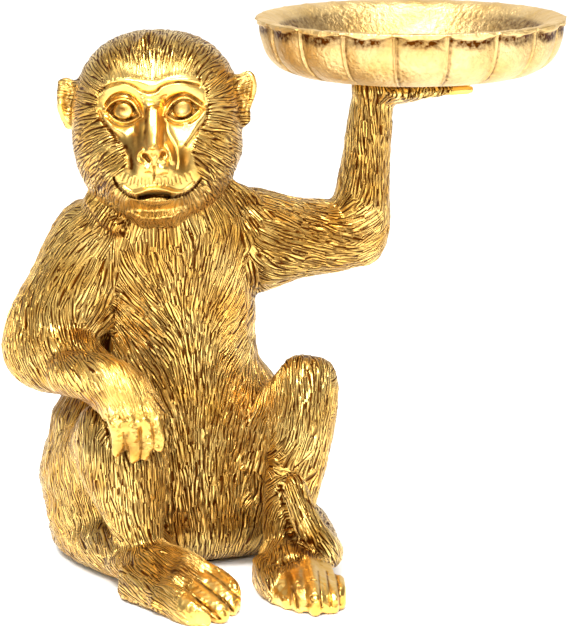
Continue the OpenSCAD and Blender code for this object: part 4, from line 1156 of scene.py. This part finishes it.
def combed_hair(tree, low, bump):
    """Adds combed lines to the paint's wash and to its bump."""
    strand = node(tree, "ShaderNodeAttribute", attribute_name="comb").outputs["Vector"]
    skin_share = node(tree, "ShaderNodeAttribute", attribute_name="bare").outputs["Fac"]
    hairy = node(tree, "ShaderNodeMath", {0: 1.0}, {1: skin_share}, operation="SUBTRACT").outputs[0]
    parts = node(tree, "ShaderNodeSeparateXYZ", links={"Vector": strand})
    drift, gaps, fine = (strand_noise(tree, strand, pace) for pace in (DRIFT, GAPS, FINEST))
    bent = node(tree, "ShaderNodeMath", {1: 4.0}, {0: drift, 2: parts.outputs["Z"]}, operation="MULTIPLY_ADD")
    phase = node(tree, "ShaderNodeMath", {1: STRANDS_A_MM}, {0: parts.outputs["X"], 2: bent.outputs[0]},
                 operation="MULTIPLY_ADD")
    wave = node(tree, "ShaderNodeMath", {1: 0.5}, {0: phase.outputs[0]}, operation="PINGPONG").outputs[0]
    strands = node(tree, "ShaderNodeMapRange", {"From Min": 0.07, "From Max": 0.3}, {"Value": wave})
    kept = node(tree, "ShaderNodeMapRange", {"From Min": 0.47, "From Max": 0.7, "To Max": 0.8},
                {"Value": gaps})
    crest = node(tree, "ShaderNodeMath", None, {0: strands.outputs["Result"], 1: kept.outputs["Result"]},
                 operation="MAXIMUM")
    centred = node(tree, "ShaderNodeMath", {1: 0.5}, {0: fine}, operation="SUBTRACT")
    ridge = node(tree, "ShaderNodeMath", None, {0: centred.outputs[0]}, operation="ABSOLUTE")
    hairs = node(tree, "ShaderNodeMapRange", {"From Max": 0.07, "To Min": 0.5}, {"Value": ridge.outputs[0]})
    height = node(tree, "ShaderNodeMath", None, {0: crest.outputs[0], 1: hairs.outputs["Result"]},
                  operation="MULTIPLY").outputs[0]
    groove = node(tree, "ShaderNodeMath", {0: 1.0}, {1: height}, operation="SUBTRACT").outputs[0]
    here = node(tree, "ShaderNodeMath", None, {0: groove, 1: hairy}, operation="MULTIPLY").outputs[0]
    low = node(tree, "ShaderNodeMath", {1: 1.15}, {0: here, 2: low.outputs[0]}, operation="MULTIPLY_ADD")
    low.use_clamp = True
    depth = node(tree, "ShaderNodeMath", None, {0: height, 1: hairy}, operation="MULTIPLY")
    bump = node(tree, "ShaderNodeBump", {"Strength": 1.0, "Distance": HAIR_DEPTH},
                {"Height": depth.outputs[0], "Normal": bump.outputs["Normal"]})
    return low, bump


def antique_gold(name, deep, pale, rough, dent, uneven, combed):
    """The paint between two golds, with dents of a size in mm and a strength, and combed lines or none."""
    material, tree = new_material(name)
    place = node(tree, "ShaderNodeTexCoord").outputs["Object"]
    blotch = node(tree, "ShaderNodeTexNoise", {"Scale": a_metre(BLOTCH_MM), "Detail": 3.0}, {"Vector": place})
    dents = node(tree, "ShaderNodeTexNoise", {"Scale": a_metre(dent), "Detail": 3.0}, {"Vector": place})
    grain = node(tree, "ShaderNodeTexNoise", {"Scale": a_metre(GRAIN_MM), "Detail": 2.0}, {"Vector": place})
    # the brown wash, which also carries painted shade and painted highlights
    washed_and_shaded = node(tree, "ShaderNodeAttribute", attribute_name="wash_and_shade").outputs["Fac"]
    worn = node(tree, "ShaderNodeMapRange",
                {"From Min": 0.35, "From Max": 0.65, "To Min": 0.55, "To Max": 1.25},
                {"Value": dents.outputs["Fac"]})
    low = node(tree, "ShaderNodeMath", None, {0: washed_and_shaded, 1: worn.outputs["Result"]}, operation="MULTIPLY")
    low.use_clamp = True
    dented = node(tree, "ShaderNodeBump", {"Strength": uneven, "Distance": UNEVEN_DEPTH},
                  {"Height": dents.outputs["Fac"]})
    bump = node(tree, "ShaderNodeBump", {"Strength": 0.12, "Distance": GRAIN_DEPTH},
                {"Height": grain.outputs["Fac"], "Normal": dented.outputs["Normal"]})
    if combed:
        low, bump = combed_hair(tree, low, bump)
    shaded = two_tone(tree, blotch, deep, pale)
    if combed:
        # painted shade: amber mixed into the gold over the hair that lies in shade
        painted_shade_share = node(tree, "ShaderNodeAttribute", attribute_name="painted_shade").outputs["Fac"]
        shaded = node(tree, "ShaderNodeMix", {7: linear(SHADE_AMBER)}, {0: painted_shade_share, 6: shaded},
                      data_type="RGBA").outputs[2]
    colour = node(tree, "ShaderNodeMix", {7: linear(WASH_AND_SHADE_BROWN)}, {0: low.outputs[0], 6: shaded},
                  data_type="RGBA")
    dull = node(tree, "ShaderNodeMapRange", {"To Min": rough, "To Max": 0.5}, {"Value": low.outputs[0]})
    shader = node(tree, "ShaderNodeBsdfPrincipled", {"Metallic": 1.0}, {
        "Base Color": colour.outputs[2], "Roughness": dull.outputs["Result"],
        "Normal": bump.outputs["Normal"]})
    finish_material(tree, shader)
    return material


# Drawn steel of the dowels and the pin: cool grey with a faint unevenness from drawing, drawn coarse
# enough to show
DRAW_LINE_MM = 10 / 9


def drawn_steel():
    material, tree = new_material("drawn_steel")
    place = node(tree, "ShaderNodeTexCoord").outputs["Object"]
    lines = node(tree, "ShaderNodeTexNoise", {"Scale": a_metre(DRAW_LINE_MM), "Detail": 3.0},
                 {"Vector": place})
    tone = two_tone(tree, lines, "#8f9196", "#b9bcc2")
    bump = node(tree, "ShaderNodeBump", {"Strength": 0.2, "Distance": 0.00005},
                {"Height": lines.outputs["Fac"]})
    shader = node(tree, "ShaderNodeBsdfPrincipled", {"Metallic": 1.0, "Roughness": 0.35},
                  {"Base Color": tone, "Normal": bump.outputs["Normal"]})
    finish_material(tree, shader)
    return material


# Dark felt under the seat and the feet: matt, with a loose mat of fibres, drawn coarse enough to show
FIBRE_MM = 5 / 13


def dark_felt():
    material, tree = new_material("dark_felt")
    place = node(tree, "ShaderNodeTexCoord").outputs["Object"]
    fibres = node(tree, "ShaderNodeTexNoise",
                  {"Scale": a_metre(FIBRE_MM), "Detail": 4.0, "Distortion": 1.5}, {"Vector": place})
    tone = two_tone(tree, fibres, "#1d1b18", "#3a3631")
    bump = node(tree, "ShaderNodeBump", {"Strength": 0.6, "Distance": 0.0002},
                {"Height": fibres.outputs["Fac"]})
    shader = node(tree, "ShaderNodeBsdfPrincipled", {"Roughness": 0.95, "Sheen Weight": 0.3},
                  {"Base Color": tone, "Normal": bump.outputs["Normal"]})
    finish_material(tree, shader)
    return material


# DISH: turned round its middle, with petals outside, a rough rim and a flat floor for the candle
DISH_MIDDLE = np.array([43.95, -4.37])
DISH_FOOT = 93.91
PETALS = 18
FIRST_GROOVE = math.radians(12)
PETAL_COLUMNS = 24
CROWDING = 0.72  # how far the columns crowd towards the grooves
DISH_STEP = 0.37
DISH_ACROSS = 0.9825  # drawn in by this share, so that the rough rim stays within the solid's reach
LIP_HEIGHT = 10.9
LIP_SCALLOP = 0.75
PETAL_HOLLOW = 0.75
RIB_RISE = 0.45
# (radius, height over the foot, share of the petals' relief)
DISH_OUTLINE = [(0.01, 0, 0), (11.8, 0, 0), (17.3, 0.17, 0.25), (22.5, 0.8, 0.6), (25.6, 1.84, 0.85),
                (27.4, 3.15, 1), (28.4, 4.4, 1), (29.0, 5.6, 1), (29.4, 6.8, 1), (29.7, 8.0, 1),
                (29.8, 9.0, 1), (29.85, 9.9, 1), (29.9, 10.5, 1), (29.9, 10.9, 0.8), (29.85, 11.2, 0.4),
                (29.6, 11.32, 0.1), (29.0, 11.38, 0), (28.0, 11.2, 0), (27.1, 10.85, 0), (26.4, 10.35, 0),
                (25.9, 9.9, 0), (25.0, 8.9, 0), (24.0, 7.6, 0), (22.9, 6.0, 0), (21.9, 4.9, 0),
                (21.0, 4.4, 0), (20.2, 4.22, 0), (19.0, 4.2, 0), (10, 4.2, 0), (0.01, 4.2, 0)]


def dish_mesh():
    """The dish, with its brown wash and its painted shade."""
    rows = curve_through([(r, z, w * 10) for r, z, w in DISH_OUTLINE], DISH_STEP)
    share = np.arange(PETAL_COLUMNS) / PETAL_COLUMNS
    share = share - CROWDING * np.sin(2 * np.pi * share) / (2 * np.pi)
    u = np.tile(share, PETALS)
    petal = np.repeat(np.arange(PETALS), PETAL_COLUMNS)
    turn = FIRST_GROOVE + (petal + u) * 2 * np.pi / PETALS
    wobble = rng.normal(0, 1, (PETALS, 3))
    to_groove = np.minimum(u, 1 - u)
    r, z, w = (rows[:, i:i + 1] for i in range(3))
    w = w / 10
    crown = np.sin(np.pi * u) ** 0.7
    lip_at = LIP_HEIGHT - LIP_SCALLOP * crown * (1 + 0.2 * wobble[petal, 0])
    lip_at = lip_at + 0.1 * np.sin(turn * 41) + 0.08 * np.sin(turn * 67 + 1)
    outer = (np.arange(len(rows)) < int(np.argmax(rows[:, 1])))[:, None]
    lip = outer * smoothstep(z, lip_at - 0.2, lip_at + 0.2)
    wall = w * (1 - lip)
    rib = RIB_RISE * np.exp(-(to_groove / 0.022) ** 2)
    push = wall * (-PETAL_HOLLOW * (1 - crown) - 0.35 * (1 - u) ** 5 * (u > 0.02) + rib - 0.3)
    push = push + outer * 0.3 * np.exp(-(to_groove / 0.04) ** 2 - ((z - 11.0) / 0.4) ** 2)
    push = push + lip * (0.08 * np.sin(turn * 23 + 2) + 0.06 * np.sin(turn * 57))
    radius = (r + push) * DISH_ACROSS
    x = DISH_MIDDLE[0] + radius * np.sin(turn)
    y = DISH_MIDDLE[1] - radius * np.cos(turn)
    level = DISH_FOOT + z + 0 * turn + (~outer) * smoothstep(r, 25.5, 27) * (
        0.07 * np.sin(turn * 31) + 0.05 * np.sin(turn * 53 + 2))
    points = np.stack([x, y, level], axis=2).reshape(-1, 3)
    columns = len(u)
    faces = []
    for j in range(len(rows) - 1):
        for k in range(columns):
            a, b = j * columns + k, j * columns + (k + 1) % columns
            faces.append((a, b, b + columns, a + columns))
    # painted shade under the lip in the middle of each petal, a painted shadow beside each rib, and darker
    # towards the foot on one half of each petal
    brown = wall * smoothstep(z, lip_at - 2.4, lip_at - 0.5) * crown * (1.1 + 0.2 * wobble[petal, 1])
    brown = brown + 0.5 * wall * np.exp(-((u - 0.055) / 0.03) ** 2)
    brown = brown + 0.2 * wall * smoothstep(u, 0.45, 0.0) * smoothstep(z, 5.0, 0.5)
    # painted shade on the inner wall, darkest on its left and right, and a light wash over the outer petals
    inner_wall = (~outer) * smoothstep(r, 20.5, 22.5) * (1 - smoothstep(r, 25.2, 26.0))
    sides = 0.30 + 0.45 * np.abs(np.sin(turn)) ** 2
    brown = brown + inner_wall * sides + 0.2 * wall
    mesh = mesh_from("petal_dish", points * MM, faces)
    mesh.polygons.foreach_set("use_smooth", np.ones(len(mesh.polygons), dtype=bool))
    layer = mesh.attributes.new("wash_and_shade", "FLOAT", "POINT")
    layer.data.foreach_set("value", np.clip(brown, 0, 1).astype(np.float32).ravel())
    return mesh


gold = antique_gold("antique_gold_fur", "#dca94c", "#f5d27e", 0.28, FUR_DENT_MM, 0.35, combed=True)
dish_gold = antique_gold("antique_gold_dish", "#cda864", "#e8ca90", 0.45, DISH_DENT_MM, 1.0, combed=False)
dish = add_object("petal_dish", dish_mesh())
dish.data.materials.append(dish_gold)
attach(dish, "root")
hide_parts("dish")
steel, felt = drawn_steel(), dark_felt()

# the wash with its painted shade and highlights, the bare skin, and the amber painted shade
painted = {"wash_and_shade": wash_and_shade, "bare": bare, "painted_shade": painted_shade}
for index, name in enumerate(CASTINGS):
    mesh = parted("skin_" + name, points, total, corner, face_casting == index, painted, comb)
    mesh.materials.append(gold)
    piece = add_object("skin_" + name, mesh)
    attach(piece, "root")
    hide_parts(name)
for name, item in nodes.items():
    if name.endswith(("dowel", "pin", "felt")):
        item.data.materials.clear()
        item.data.materials.append(felt if name.endswith("felt") else steel)


# STAGE
FLOOR_SPAN = 2.5
AIM = (0.01, -0.01, 0.05)
# (name, place, size, watts)
LAMPS = [("key", (-0.2, -0.55, 0.7), 0.3, 8.0), ("top", (0.05, -0.15, 0.9), 0.35, 5.0),
         ("side", (0.3, -0.65, 0.6), 0.3, 5.0), ("front", (-0.05, -0.95, 0.45), 0.35, 3.6)]
TENT_TOP = (-0.1, -0.42, 0.9)


def plain(name, colour_code, roughness):
    material, tree = new_material(name)
    shader = node(tree, "ShaderNodeBsdfPrincipled",
                  {"Base Color": linear(colour_code), "Roughness": roughness})
    finish_material(tree, shader)
    return material


def add_floor():
    corners = [(x * FLOOR_SPAN, y * FLOOR_SPAN, 0) for x, y in ((-1, -1), (1, -1), (1, 1), (-1, 1))]
    mesh = mesh_from("floor", corners, [(0, 1, 2, 3)])
    mesh.materials.append(plain("white_floor", "#f4f4f2", 0.6))
    floor = add_object("floor", mesh)


def add_light(name, place, size, watts):
    data = bpy.data.lights.new(name, "AREA")
    data.shape = "DISK"
    data.size = size
    data.energy = watts
    lamp = bpy.data.objects.new(name, data)
    lamp.location = place
    lamp.rotation_euler = (Vector(AIM) - Vector(place)).to_track_quat("-Z", "Y").to_euler()
    bpy.context.scene.collection.objects.link(lamp)


def set_world():
    """White to the camera and to matt surfaces such as the floor. The gold reflects the white backdrop behind
    it, and in front a tent of soft light, brightest high up and dimmer round about."""
    world = bpy.data.worlds.new("studio")
    world.use_nodes = True
    tree = world.node_tree
    tree.nodes.clear()
    ray = node(tree, "ShaderNodeLightPath")
    way = node(tree, "ShaderNodeTexCoord").outputs["Generated"]
    high = node(tree, "ShaderNodeVectorMath", {1: TENT_TOP}, {0: way}, operation="DOT_PRODUCT")
    rise = node(tree, "ShaderNodeMapRange",
                {"From Min": 0.25, "From Max": 0.95, "To Min": 0.24, "To Max": 0.92},
                {"Value": high.outputs["Value"]}, interpolation_type="SMOOTHSTEP")
    behind = node(tree, "ShaderNodeSeparateXYZ", links={"Vector": way}).outputs["Y"]
    backdrop = node(tree, "ShaderNodeMapRange", {"From Min": 0.3, "From Max": 0.75}, {"Value": behind},
                    interpolation_type="SMOOTHSTEP")
    bright = node(tree, "ShaderNodeMath", None, {0: rise.outputs["Result"], 1: backdrop.outputs["Result"]},
                  operation="MAXIMUM")
    white = node(tree, "ShaderNodeBackground", {"Color": (1, 1, 1, 1), "Strength": 1.05})
    tent = node(tree, "ShaderNodeBackground", {"Color": (1, 1, 1, 1)}, {"Strength": bright.outputs[0]})
    mix = node(tree, "ShaderNodeMixShader", links={
        0: ray.outputs["Is Glossy Ray"], 1: white.outputs["Background"], 2: tent.outputs["Background"]})
    node(tree, "ShaderNodeOutputWorld", links={"Surface": mix.outputs["Shader"]})
    bpy.context.scene.world = world


add_floor()
for lamp in LAMPS:
    add_light(*lamp)
set_world()
bpy.context.scene.view_settings.view_transform = "Standard"
